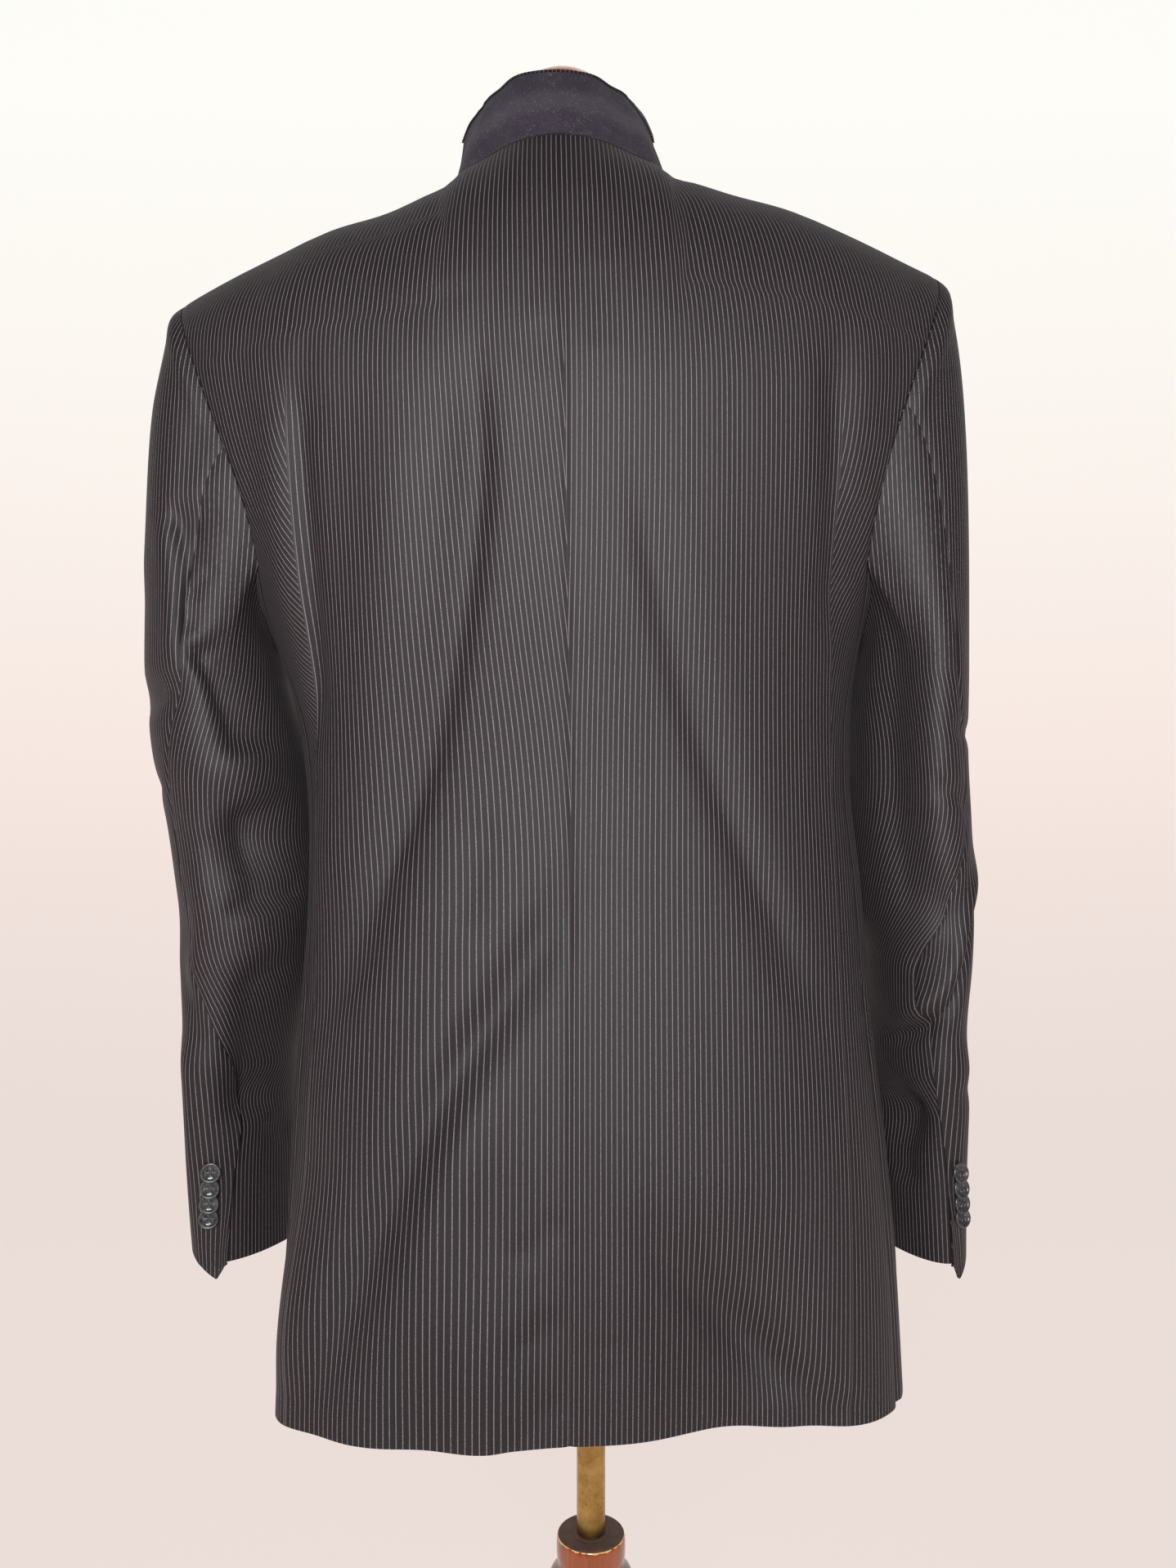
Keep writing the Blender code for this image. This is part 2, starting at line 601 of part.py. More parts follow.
def sleeve_ring(side, z, around):
    """Points of a sleeve's ring, around in degrees from the outer side backwards."""
    table = SLEEVES[side]
    turn = np.radians(read(table, "turn", z))
    angle = np.radians(around)
    outward = np.stack([side * np.cos(turn), np.sin(turn)], axis=-1)
    backward = np.stack([side * np.sin(turn), -np.cos(turn)], axis=-1)
    flat = outward * (read(table, "thin", z) * np.cos(angle))[..., None]
    flat = flat + backward * (read(table, "deep", z) * np.sin(angle))[..., None]
    x = read(table, "x", z) + flat[..., 0]
    y = read(table, "y", z) + flat[..., 1]
    return np.stack([x, y, z + 0.0 * x], axis=-1)


def dents(side, around, z):
    """How far a sleeve's largest folds push its cloth out."""
    total = np.zeros_like(z)
    for dent in DENTS:
        if dent.side == side:
            off = (around - dent.around + 180.0) % 360.0 - 180.0
            total += dent.out * np.exp(-(off / dent.wide) ** 2 - ((z - dent.z) / dent.tall) ** 2)
    return total


def sleeve_cage(side, part):
    """Outer points of a sleeve part: rows from the cuff up into the armhole."""
    table = SLEEVES[side]
    loop, seat, across_hole, hind, front = armhole_loop(side)
    count = len(loop)
    if part == "top":
        chosen = np.arange(hind, front + 1)
    else:
        chosen = np.arange(front, hind + count + 1)
    share = np.linspace(0.0, 1.0, len(chosen))
    arm_z = np.array(ARM_ROWS)[:, None] + 0.0 * share
    hind_edge = read(table, "lap", arm_z)
    if part == "top":
        around = hind_edge + (read(table, "front", arm_z) - hind_edge) * share
        arm_z = arm_z - CUFF_TIP * ease((0.870 - arm_z) / 0.085) * ease(1.0 - share / 0.35)
    else:
        front_edge = read(table, "front", arm_z)
        hind_edge = hind_edge - CUFF_UNDERLAP * ease((CUFF_VENT_TOP - arm_z) / 0.030)
        around = front_edge + (hind_edge - 360.0 - front_edge) * share
    arm = sleeve_ring(side, arm_z, around)
    armhole = loop[chosen % count]
    top = arm[-1]
    span = np.linalg.norm(armhole - top, axis=-1, keepdims=True)
    lift = np.clip((armhole[:, 2:3] - SEAM_TOP) / (1.42 - SEAM_TOP), 0.0, 1.0)
    sideways = side * (0.55 + 0.25 * lift)
    leave = np.concatenate([sideways, 0.9 * armhole[:, 1:2], -0.85 + 0.35 * lift], axis=1)
    leave = unit(leave) * span * (0.75 - 0.47 * lift)
    arrive = np.array([0.0, 0.0, -1.0]) * span * 0.95
    rows = [arm]
    for f in HEAD_ROWS:
        g = 1.0 - f
        a = 2 * g**3 - 3 * g**2 + 1
        b = g**3 - 2 * g**2 + g
        c = 3 * g**2 - 2 * g**3
        d = g**3 - g**2
        rows.append((armhole * a + leave * b + top * c + arrive * d)[None])
    points = np.concatenate(rows)
    rise = np.concatenate([arm_z, points[len(arm_z):, :, 2]])
    full_around = np.concatenate([around, np.repeat(around[-1:], len(HEAD_ROWS), axis=0)])
    return points, rise, full_around, seat[chosen % count], across_hole[chosen % count]


def sleeve_normals(side, points, wrap):
    """Outward normals of a sleeve part; wrap holds the neighbouring part's next columns."""
    wide = np.concatenate([wrap[0], points, wrap[1]], axis=1)
    along = (wide[:, 2:] - wide[:, :-2])
    up = np.gradient(points, axis=0)
    return unit(np.cross(along, up) * side)


def sleeve_part(side, part, material):
    """A top or under sleeve as a cloth wall."""
    points, rise, around, seat, across_hole = sleeve_cage(side, part)
    other = sleeve_cage(side, "under" if part == "top" else "top")[0]
    vent = (rise[:, 1] < CUFF_VENT_TOP - 0.010)[:, None, None]
    before, after = other[:, -2:-1], other[:, 1:2]
    if part == "top":
        before = np.where(vent, 2.0 * points[:, :1] - points[:, 1:2], before)
    else:
        after = np.where(vent, 2.0 * points[:, -1:] - points[:, -2:-1], after)
    facing = sleeve_normals(side, points, (before, after))
    agree = np.sum(facing[-1] * seat, axis=-1)
    facing[-1] = np.where(agree[:, None] < 0.0, facing[-1], seat)
    push = dents(side, around, rise)
    fixed = np.ones(len(points))
    fixed[-3:] = (0.6, 0.2, 0.0)
    push = push * fixed[:, None]
    if part == "top":
        near_edge = 1.0 - ease((np.linspace(0.0, 1.0, points.shape[1]) - 0.20) / 0.15)
        push = push + LAP_STEP * near_edge * ease((CUFF_VENT_TOP + 0.030 - rise) / 0.030)
    outer = points + facing * push[..., None]
    inner = outer - facing * CLOTH
    side_step = unit(np.gradient(outer, axis=1))
    for grid in (outer, inner):
        grid[:, 0] += side_step[:, 0] * SEAM_GAP / 2
        grid[:, -1] -= side_step[:, -1] * SEAM_GAP / 2
        grid[-1] += across_hole * SURFACE_LIFT + seat * (SEAM_STEP * (agree < 0.0))[:, None]
    name = "sleeve_" + part + ("_left" if side == LEFT else "_right")
    return wall(name, outer, inner, material)


def hinge(side):
    """The neckline and roll line from the nape to the break, with its frame of directions."""
    neck = np.linspace(0.0, 0.98, 24)
    level = np.full_like(neck, CHEST_HEIGHT + 1.0)
    rings, out = half_rings(side, level)
    arc = arcs(rings)
    upto = np.interp(NECK_HALF_WIDTH, out[0, :90], arc[0, :90])
    back = on_rings(rings, arc, neck * upto)
    back_out = unit(np.cross(on_rings(rings, arc, neck * upto + 0.002) - back,
                             on_rings(*ring_pair(side, level - 0.01), neck * upto) - back) * -side)
    low = CHEST_HEIGHT + np.linspace(1.0, 0.05, 26)
    heights = np.concatenate([low, np.linspace(CHEST_HEIGHT, LAPEL_FOOT[side], 24)])
    one = np.ones_like(heights)
    front = cloth_panel("front", side, one, heights)[0]
    outer, inner = cloth_panel("front", side, one, np.minimum(heights, CHEST_HEIGHT + 0.985))
    front_out = unit(outer - inner)
    path = np.concatenate([back, front])
    facing = np.concatenate([back_out, front_out])
    return path, facing


def ring_pair(side, level):
    """Half rings and their distances, for reading points off them."""
    rings, _ = half_rings(side, level)
    return rings, arcs(rings)


def even_path(path, facing, step):
    """A path resampled evenly and softened at its corners, with its normals."""
    steps = np.linalg.norm(np.diff(path, axis=0), axis=1)
    keep = np.concatenate([[True], steps > 1e-6])
    path, facing = path[keep], facing[keep]
    arc = np.concatenate([[0.0], np.cumsum(np.linalg.norm(np.diff(path, axis=0), axis=1))])
    at = np.arange(0.0, arc[-1], step)
    both = [np.interp(at, arc, column_of) for column_of in np.concatenate([path, facing], axis=1).T]
    return np.array(both).T, at


def flap_frame():
    """The whole hinge from the left break over the nape to the right break."""
    halves = []
    for side in (LEFT, RIGHT):
        path, facing = hinge(side)
        rows, at = even_path(path, facing, 0.002)
        halves.append((rows, at * side))
    rows = np.concatenate([halves[0][0][::-1], halves[1][0][1:]])
    along = np.concatenate([halves[0][1][::-1], halves[1][1][1:]])
    weights = np.exp(-np.linspace(-2.0, 2.0, 15) ** 2)
    padded = np.concatenate([np.repeat(rows[:1], 7, axis=0), rows, np.repeat(rows[-1:], 7, axis=0)])
    soft = np.array([np.convolve(c, weights / weights.sum(), "valid") for c in padded.T]).T
    path = rows[:, :3]
    tangent = unit(np.gradient(soft[:, :3], axis=0))
    facing = unit(soft[:, 3:] - tangent * np.sum(soft[:, 3:] * tangent, axis=1, keepdims=True))
    away = unit(np.cross(tangent, facing))
    return along, path, facing, away


def flap_points(along, share, width, frame):
    """Points of collar or lapel, share of the way from the roll line to the outer edge."""
    known, path, facing, away = frame

    def pick(rows):
        return np.stack([np.interp(along, known, c) for c in rows.T], axis=-1)

    place, face, aside = pick(path), unit(pick(facing)), unit(pick(away))
    far = np.abs(along)
    angle = np.radians(read(FLAP, "angle", far, "along"))[..., None]
    folded = aside * np.cos(angle) + face * np.sin(angle)
    raised = np.stack([
        COLLAR_LEAN - np.sign(along) * read(COLLAR_RISE, "inward", far, "along"),
        read(COLLAR_RISE, "forward", far, "along"),
        read(COLLAR_RISE, "up", far, "along"),
    ], axis=-1)
    height = np.linalg.norm(raised, axis=-1)
    turn = ease((far - TURN_START) / TURN_LENGTH)[..., None]
    out = unit(unit(raised) * (1.0 - turn) + folded * turn)
    reach = SEAM_STEP + share * ((height if width is None else width) - SEAM_STEP)
    lying = ease(1.0 - angle / math.radians(60.0)) * turn
    return place + out * reach[..., None] + face * SEAM_STEP * lying


def flap_through(points, side=1):
    """Unit directions through a collar or lapel, from the felt side to the cloth side."""
    return unit(np.cross(np.gradient(points, axis=0), np.gradient(points, axis=1)) * side)


def collar_piece(name, near, far, material, frame):
    """One layer of the raised collar, from the neck seam to its outer edge."""
    rows = np.array([0.0, 0.22, 0.42, 0.62, 0.81, 1.0])
    cols = np.linspace(-1.0, 1.0, 25)
    up, span = np.meshgrid(rows, cols, indexing="ij")
    cut = GORGE - 0.0006 - NOTCH_COLLAR * ease((up - NOTCH_START) / (1.0 - NOTCH_START)) ** 0.7
    points = flap_points(span * cut, up, None, frame)
    through = flap_through(points)
    roll = (COLLAR_ROLL * np.sin(np.pi * up) * (1.0 - 0.5 * np.abs(span)))[..., None]
    return wall(name, points + through * (near - roll), points + through * (far - roll), material)


def lapel(side, material, frame):
    """One lapel, folded over at the break and opening up towards the collar."""
    rows = np.array([0.0, 0.2, 0.4, 0.6, 0.8, 1.0])
    cols = np.linspace(0.0, 1.0, 14)
    up, share = np.meshgrid(rows, cols, indexing="ij")
    top = GORGE + 0.0006 + NOTCH_LAPEL * ease((up - NOTCH_START) / (1.0 - NOTCH_START)) ** 0.7
    end = abs(frame[0][0] if side == LEFT else frame[0][-1]) - 0.004
    along = top + (end - top) * share
    width = np.minimum(read(FLAP, "lapel", along, "along"), 0.006 + (end - along) * 0.40)
    points = flap_points(side * along, up, width, frame)
    through = flap_through(points, side)
    name = "lapel_left" if side == LEFT else "lapel_right"
    low = points + through * SURFACE_LIFT
    return wall(name, low + through * CLOTH, low, material)


def pocket_flap(side, material):
    """A plain hip pocket flap lying on the front."""
    rows = np.array([0.930, 0.915, 0.895, 0.880])
    cols = np.linspace(0.10, 0.78, 8)
    level, col = np.meshgrid(rows, cols, indexing="ij")
    level = level - 0.012 * (1.0 - col)
    outer, _ = cloth_panel("front", side, col, level)

    def point_of(which, a, b):
        return panel_point("front", which, a, b)

    facing = normals(point_of, side, col, level)
    low = outer + facing * SURFACE_LIFT
    name = "pocket_flap_left" if side == LEFT else "pocket_flap_right"
    return wall(name, low + facing * CLOTH, low, material)


def button_profile(diameter, thick):
    """A button with a raised rim and a dished middle, top to bottom."""
    radius = diameter / 2
    return (
        (0.0, 0.10 * thick),
        (0.62 * radius, 0.10 * thick),
        (0.76 * radius, 0.50 * thick),
        (0.92 * radius, 0.50 * thick),
        (radius, 0.10 * thick),
        (0.84 * radius, -0.50 * thick),
        (0.0, -0.50 * thick),
    )


def turn_to(facing, lean=0.0):
    """A rotation that points +Z along facing, tipped by lean so the lower edge stands out."""
    face = Vector(facing).normalized()
    level_axis = Vector((0.0, 0.0, 1.0)).cross(face).normalized()
    tipped = Quaternion(level_axis, -lean) @ face
    upright = tipped.cross(level_axis).normalized()
    return Matrix((level_axis, upright, tipped)).transposed().to_quaternion()


def cuff_buttons(side, material):
    """Four overlapping buttons along the top sleeve's edge at the cuff."""
    table = SLEEVES[side]
    tilt = math.radians(CUFF_BUTTON_TILT)
    stand = LAP_STEP + BUTTON / 2 * math.sin(tilt) + CUFF_BUTTON_THICK / 2 - CUFF_BUTTON_SINK
    label = "left" if side == LEFT else "right"
    heights = np.array(CUFF_BUTTON_HEIGHTS)
    around = read(table, "lap", heights) - CUFF_BUTTON_INSET[side]
    place = sleeve_ring(side, heights, around)
    along = sleeve_ring(side, heights, around - 4.0) - sleeve_ring(side, heights, around + 4.0)
    along = along.mean(axis=0)
    down = place[-1] - place[0]
    facing = unit(np.cross(along, down) * -side)
    rotation = turn_to(facing, tilt)
    for number, spot in enumerate(place + facing * stand, start=1):
        name = "cuff_button_" + label + "_" + str(number)
        profile = button_profile(BUTTON, CUFF_BUTTON_THICK)
        turned(name, profile, 12, material, tuple(spot), rotation)


def front_buttons(material):
    """The buttons that close the fronts, on the left front's edge."""
    for number, height in enumerate(FRONT_BUTTON_HEIGHTS, start=1):
        across = np.array([[0.0, 0.97, 1.0]])
        level = np.full_like(across, height)
        edge = panel_point("front", LEFT, across, level)[0]
        out_of = read(TORSO, "seam", height) - edge[..., 0]
        share = np.interp(0.0, out_of[0, ::-1], across[0, ::-1])
        col = np.array([[share]])
        outer, inner = cloth_panel("front", LEFT, col, np.array([[height]]))
        facing = unit(outer - inner)[0, 0]
        rotation = turn_to(facing)
        spot = outer[0, 0] + facing * (FRONT_BUTTON_THICK / 2 + SURFACE_LIFT)
        profile = button_profile(FRONT_BUTTON, FRONT_BUTTON_THICK)
        turned("front_button_" + str(number), profile, 14, material, tuple(spot), rotation)


def leaned(points):
    """Points of the form, tipped about the top of its pole."""
    pivot = FORM_BOTTOM
    x, z = points[..., 0].copy(), points[..., 2] - pivot
    points = points.copy()
    points[..., 0] = x * math.cos(LEAN) - z * math.sin(LEAN)
    points[..., 2] = pivot + x * math.sin(LEAN) + z * math.cos(LEAN)
    return points


def dress_form(material):
    """The limbless torso that the jacket hangs on, smooth and whole."""
    turn = np.radians(np.arange(0, 360, 15))
    rings = []
    for row in FORM:
        power = 2.0 / row.square
        x = row.half * np.sign(np.sin(turn)) * np.abs(np.sin(turn)) ** power
        deep = np.where(np.cos(turn) > 0, row.back, row.front)
        y = row.mid - deep * np.sign(np.cos(turn)) * np.abs(np.cos(turn)) ** power
        sloped = SHOULDER_TILT * ease((row.z - 1.30) / 0.12) * (1.0 - ease((row.z - 1.484) / 0.020))
        rings.append(leaned(np.stack([x, y, row.z + x * sloped], axis=-1)))
    return stacked_rings("dress_form", rings, material)


def neck_cap(material):
    """A turned wooden cap on the form's neck."""
    rounds = 6
    dome = []
    for i in range(rounds):
        angle = math.pi / 2 * (1.0 - i / rounds)
        dome.append((CAP_RADIUS * math.cos(angle), CAP_HEIGHT * math.sin(angle)))
    dome[0] = (0.0, CAP_HEIGHT)
    dome += [(CAP_RADIUS, 0.002), (CAP_RADIUS - 0.002, SEAM_GAP), (0.0, SEAM_GAP)]
    seat = leaned(np.array([[0.0, NECK_MID, NECK_TOP]]))[0]
    tilt = Quaternion((0.0, 1.0, 0.0), -LEAN)
    return turned("neck_cap", dome, 24, material, tuple(seat), tilt)


def stand(brass, wood):
    """Pole, turned stem and round base."""
    pole_top = FORM_BOTTOM - 2 * SEAM_GAP
    pole_foot = STEM_TOP + SEAM_GAP
    bpy.ops.mesh.primitive_cylinder_add(
        vertices=24,
        radius=POLE_DIAMETER / 2,
        depth=pole_top - pole_foot,
        location=(0.0, 0.0, (pole_top + pole_foot) / 2),
    )
    pole = bpy.context.object
    pole.name = "pole"
    pole.data.shade_smooth()
    pole.data.set_sharp_from_angle(angle=math.radians(40))
    pole.data.materials.append(brass)
    for holder in list(pole.users_collection):
        holder.objects.unlink(pole)
    PARTS.objects.link(pole)
    foot = BASE_THICKNESS + SEAM_GAP
    stem = (
        (0.0, STEM_TOP),
        (0.0215, STEM_TOP),
        (0.0230, STEM_TOP - 0.003),
        (0.0230, STEM_TOP - 0.016),
        (0.0205, STEM_TOP - 0.021),
        (0.0280, STEM_TOP - 0.027),
        (0.0285, STEM_TOP - 0.036),
        (0.0210, STEM_TOP - 0.046),
        (0.0185, STEM_TOP - 0.075),
        (0.0235, STEM_TOP - 0.170),
        (0.0290, STEM_TOP - 0.300),
        (0.0310, STEM_TOP - 0.400),
        (0.0250, STEM_TOP - 0.470),
        (0.0230, STEM_TOP - 0.490),
        (0.0380, STEM_TOP - 0.510),
        (0.0390, STEM_TOP - 0.525),
        (0.0300, STEM_TOP - 0.545),
        (0.0520, foot),
        (0.0, foot),
    )
    turned("stem", stem, 20, wood)
    half = BASE_DIAMETER / 2
    base = (
        (0.0, BASE_THICKNESS),
        (half - 0.030, BASE_THICKNESS),
        (half - 0.010, BASE_THICKNESS - 0.004),
        (half - 0.002, BASE_THICKNESS - 0.011),
        (half, BASE_THICKNESS - 0.017),
        (half, 0.002),
        (half - 0.002, 0.0),
        (0.0, 0.0),
    )
    turned("base", base, 36, wood)


for thing in list(bpy.data.objects):
    bpy.data.objects.remove(thing)

PARTS = bpy.data.collections.new("blazer_on_dress_form")
bpy.context.scene.collection.children.link(PARTS)

stripe_cloth = finish("pinstripe_cloth", (0.050, 0.042, 0.046), 0.85)
felt = finish("undercollar_felt", (0.045, 0.040, 0.062), 0.95)
horn = finish("button_resin", (0.035, 0.033, 0.035), 0.30)
linen = finish("form_cover", (0.62, 0.55, 0.45), 0.90)
varnished = finish("varnished_wood", (0.50, 0.16, 0.04), 0.25)
polished = finish("pole_brass", (0.45, 0.29, 0.11), 0.35, 1.0)

FRAME = flap_frame()
for one_side in (LEFT, RIGHT):
    back_panel(one_side, stripe_cloth)
    side_panel(one_side, stripe_cloth)
    front_panel(one_side, stripe_cloth)
    sleeve_part(one_side, "top", stripe_cloth)
    sleeve_part(one_side, "under", stripe_cloth)
    lapel(one_side, stripe_cloth, FRAME)
    pocket_flap(one_side, stripe_cloth)
    cuff_buttons(one_side, horn)
collar_piece("undercollar", 0.0, FELT, felt, FRAME)
collar_piece("top_collar", FELT + 0.0005, FELT + 0.0021, stripe_cloth, FRAME)
front_buttons(horn)
dress_form(linen)
neck_cap(varnished)
stand(polished, varnished)
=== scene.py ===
"""A pinstripe blazer with its collar turned up, on a limbless dress form with a turned stand.

Metres, +Z up. The jacket's back faces -Y and its left sleeve lies at -X.
"""
import math
from collections import namedtuple

import bpy
import numpy as np
from mathutils import Matrix, Quaternion, Vector


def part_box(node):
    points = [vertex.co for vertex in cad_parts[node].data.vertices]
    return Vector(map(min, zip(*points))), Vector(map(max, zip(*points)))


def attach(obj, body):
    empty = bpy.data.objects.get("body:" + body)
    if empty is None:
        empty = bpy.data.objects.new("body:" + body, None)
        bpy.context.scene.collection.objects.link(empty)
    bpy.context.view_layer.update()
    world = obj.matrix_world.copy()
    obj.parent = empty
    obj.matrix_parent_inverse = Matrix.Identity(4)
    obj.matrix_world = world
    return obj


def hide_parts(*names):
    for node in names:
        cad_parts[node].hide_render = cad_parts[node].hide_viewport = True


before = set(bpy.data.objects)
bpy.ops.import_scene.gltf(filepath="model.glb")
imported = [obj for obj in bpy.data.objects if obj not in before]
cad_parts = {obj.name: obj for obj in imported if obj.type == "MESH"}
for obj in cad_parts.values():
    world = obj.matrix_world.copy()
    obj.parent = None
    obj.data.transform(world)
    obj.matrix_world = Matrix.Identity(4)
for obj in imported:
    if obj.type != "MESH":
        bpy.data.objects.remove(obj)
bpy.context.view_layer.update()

# Base
# The real base is a round board turned from hardwood, stained reddish brown and varnished. It is
# screwed to the stem from below and carries the whole weight of the form.
BASE_DIAMETER = 0.360
BASE_THICKNESS = 0.028
WOOD_DARK = (0.145, 0.026, 0.006)
WOOD_LIGHT = (0.460, 0.125, 0.022)
PALE_WOOD = (0.72, 0.47, 0.17, 1.0)
WHITE = (1.0, 1.0, 1.0)


def softened(profile, rounds=2):
    """A turned profile with its corners worn round, each corner cut off twice."""
    points = [np.array(p, float) for p in profile]
    for _ in range(rounds):
        cut = [points[0]]
        for a, b in zip(points[:-1], points[1:]):
            reach = min(0.25, 0.0022 / max(np.linalg.norm(b - a), 1e-6))
            cut += [a + (b - a) * reach, b - (b - a) * reach]
        cut.append(points[-1])
        points = cut
    return points


def in_scene(name, data):
    """A new object in the scene, at the origin."""
    thing = bpy.data.objects.new(name, data)
    bpy.context.scene.collection.objects.link(thing)
    return thing


def surface(name, vertices, faces, materials, slots=None, sharp_from=None):
    """A smooth mesh as an object, with hard edges where it turns by more than sharp_from degrees."""
    mesh = bpy.data.meshes.new(name)
    mesh.from_pydata(vertices, [], faces)
    for material in materials:
        mesh.materials.append(material)
    if slots:
        mesh.polygons.foreach_set("material_index", slots)
    mesh.shade_smooth()
    if sharp_from:
        mesh.set_sharp_from_angle(angle=math.radians(sharp_from))
    return in_scene(name, mesh)


def round_faces(rings, steps, first=0):
    """Faces between closed rings of points that follow each other."""
    return [(first + r * steps + c, first + (r + 1) * steps + c,
             first + (r + 1) * steps + (c + 1) % steps, first + r * steps + (c + 1) % steps)
            for r in range(rings - 1) for c in range(steps)]


def closed_faces(rings, steps):
    """Faces of closed rings, with one point over the first ring and one under the last."""
    faces, top, last = round_faces(rings, steps), rings * steps, (rings - 1) * steps
    for c in range(steps):
        d = (c + 1) % steps
        faces += [(top, c, d), (top + 1, last + d, last + c)]
    return faces


def lathe(name, profile, steps, materials, slot_of=None):
    """A turned piece: radius and height from top to bottom, swept round the upright axis."""
    turn = np.linspace(0.0, 2 * math.pi, steps, endpoint=False)
    rings = [p for p in profile if p[0] > 1e-6]
    vertices = [(r * math.cos(t), r * math.sin(t), z) for r, z in rings for t in turn]
    vertices += [(0.0, 0.0, profile[0][1]), (0.0, 0.0, profile[-1][1])]
    slots = [slot_of(a, b) if slot_of else 0 for a, b in zip(rings[:-1], rings[1:]) for _ in range(steps)]
    return surface(name, vertices, closed_faces(len(rings), steps), materials, slots + [0] * 2 * steps, 60)


def give(tree, socket, value):
    """Joins another node's socket to this one, or sets it to a value."""
    if isinstance(value, bpy.types.NodeSocket):
        tree.links.new(value, socket)
    else:
        socket.default_value = value


def adder(tree):
    """A short way to add a node, with its settings and with its inputs by name or by number."""
    def add(kind, settings=None, **inputs):
        made = tree.nodes.new(kind)
        for key, value in (settings or {}).items():
            setattr(made, key, value)
        for key, value in inputs.items():
            give(tree, made.inputs[int(key[1:]) if key[1:].isdigit() else key], value)
        return made

    return add


def blank(name):
    """A new material, with ways to add a node and to finish its shader with values and relief."""
    material = bpy.data.materials.new(name)
    material.use_nodes = True
    tree = material.node_tree
    shader, add = tree.nodes["Principled BSDF"], adder(tree)

    def finish(values, height=None, strength=0.0, distance=0.0):
        for key, value in values.items():
            give(tree, shader.inputs[key], value)
        if height is not None:
            relief = add("ShaderNodeBump", Height=height, Strength=strength, Distance=distance)
            give(tree, shader.inputs["Normal"], relief.outputs["Normal"])
        return material

    return add, finish


def object_place(add):
    """Places on the piece, in its own metres."""
    return add("ShaderNodeTexCoord").outputs["Object"]


def stretched(add, place, scale):
    """Places closer together or further apart along each axis."""
    return add("ShaderNodeMapping", Vector=place, Scale=scale).outputs[0]


def noise(add, place, scale, detail, settings=None, **more):
    """Cloudy noise."""
    return add("ShaderNodeTexNoise", settings, Vector=place, Scale=scale, Detail=detail, **more).outputs[0]


def calc(add, way, a, b=0.0):
    """A sum with one or two values."""
    return add("ShaderNodeMath", {"operation": way}, i0=a, i1=b).outputs[0]


def change(add, value, low, high, start=0.0, end=1.0, way="LINEAR"):
    """Goes from start to end as a value goes from low to high."""
    return add("ShaderNodeMapRange", {"interpolation_type": way}, Value=value, i1=low, i2=high, i3=start,
               i4=end).outputs[0]


def ramp(add, fac, stops):
    """A colour ramp with named stops of place and colour."""
    made = add("ShaderNodeValToRGB", Fac=fac)
    while len(made.color_ramp.elements) > 1:
        made.color_ramp.elements.remove(made.color_ramp.elements[-1])
    for i, (place, color) in enumerate(stops):
        stop = made.color_ramp.elements[0] if i == 0 else made.color_ramp.elements.new(place)
        stop.position = place
        stop.color = (*color, 1.0)
    return made.outputs["Color"]


def mixed(add, fac, a, b, way="MIX"):
    """Two colours mixed by a factor."""
    return add("ShaderNodeMix", {"data_type": "RGBA", "blend_type": way}, i0=fac, i6=a, i7=b).outputs[2]


def shaded(add, color, share, fac, *stops):
    """A colour darkened or lightened by a share of a ramp."""
    return mixed(add, share, color, ramp(add, fac, stops), "MULTIPLY")


def varnished(name, dark, light, chipped_at=None, gloss=0.20):
    """Stained, varnished hardwood with its grain running up the turning axis."""
    add, finish = blank(name)
    place = object_place(add)
    long_grain = stretched(add, place, (1.0, 1.0, 0.09))
    figure = noise(add, long_grain, 42.0, 6.0, Roughness=0.62, Distortion=0.5)
    pores = noise(add, long_grain, 620.0, 3.0, Roughness=0.7)
    cloud = noise(add, place, 9.0, 3.0)
    between = tuple(0.55 * a + 0.45 * b for a, b in zip(dark, light))
    color = ramp(add, figure, ((0.28, dark), (0.52, between), (0.74, light)))
    color = shaded(add, color, 0.55, cloud, (0.30, (0.55, 0.48, 0.45)), (0.70, WHITE))
    color = shaded(add, color, 0.30, pores, (0.34, (0.25, 0.18, 0.15)), (0.48, WHITE))
    rough = change(add, cloud, 0.3, 0.7, gloss - 0.05, gloss + 0.12)
    if chipped_at is not None:
        height = add("ShaderNodeSeparateXYZ", Vector=place).outputs[2]
        near = change(add, height, chipped_at - 0.0042, chipped_at - 0.0008, 0.0, 0.62, "SMOOTHSTEP")
        ragged = noise(add, place, 210.0, 5.0, Roughness=0.65)
        torn = calc(add, "ADD", calc(add, "ADD", near, ragged), noise(add, place, 38.0, 2.0))
        chip = change(add, torn, 1.52, 1.60, way="SMOOTHSTEP")
        color = mixed(add, chip, color, PALE_WOOD)
        rough = add("ShaderNodeMix", {"data_type": "FLOAT"}, i0=chip, i2=rough, i3=0.6).outputs[0]
    return finish({"Base Color": color, "Roughness": rough, "Coat Weight": 0.55, "Coat Roughness": 0.10},
                  pores, 0.12, 0.0004)


def stands_for(thing, node):
    """The finished piece rides on the one body and takes its solid's place."""
    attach(thing, "root")
    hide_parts(node)
    return thing


stand_wood = varnished("stand_wood", WOOD_DARK, WOOD_LIGHT)
half = BASE_DIAMETER / 2
base_profile = softened((
    (0.0, BASE_THICKNESS),
    (half - 0.030, BASE_THICKNESS),
    (half - 0.010, BASE_THICKNESS - 0.004),
    (half - 0.002, BASE_THICKNESS - 0.011),
    (half, BASE_THICKNESS - 0.017),
    (half, 0.002),
    (half - 0.002, 0.0),
    (0.0, 0.0),
))
base = lathe("round_base", base_profile, 128, [stand_wood])
stands_for(base, "base")

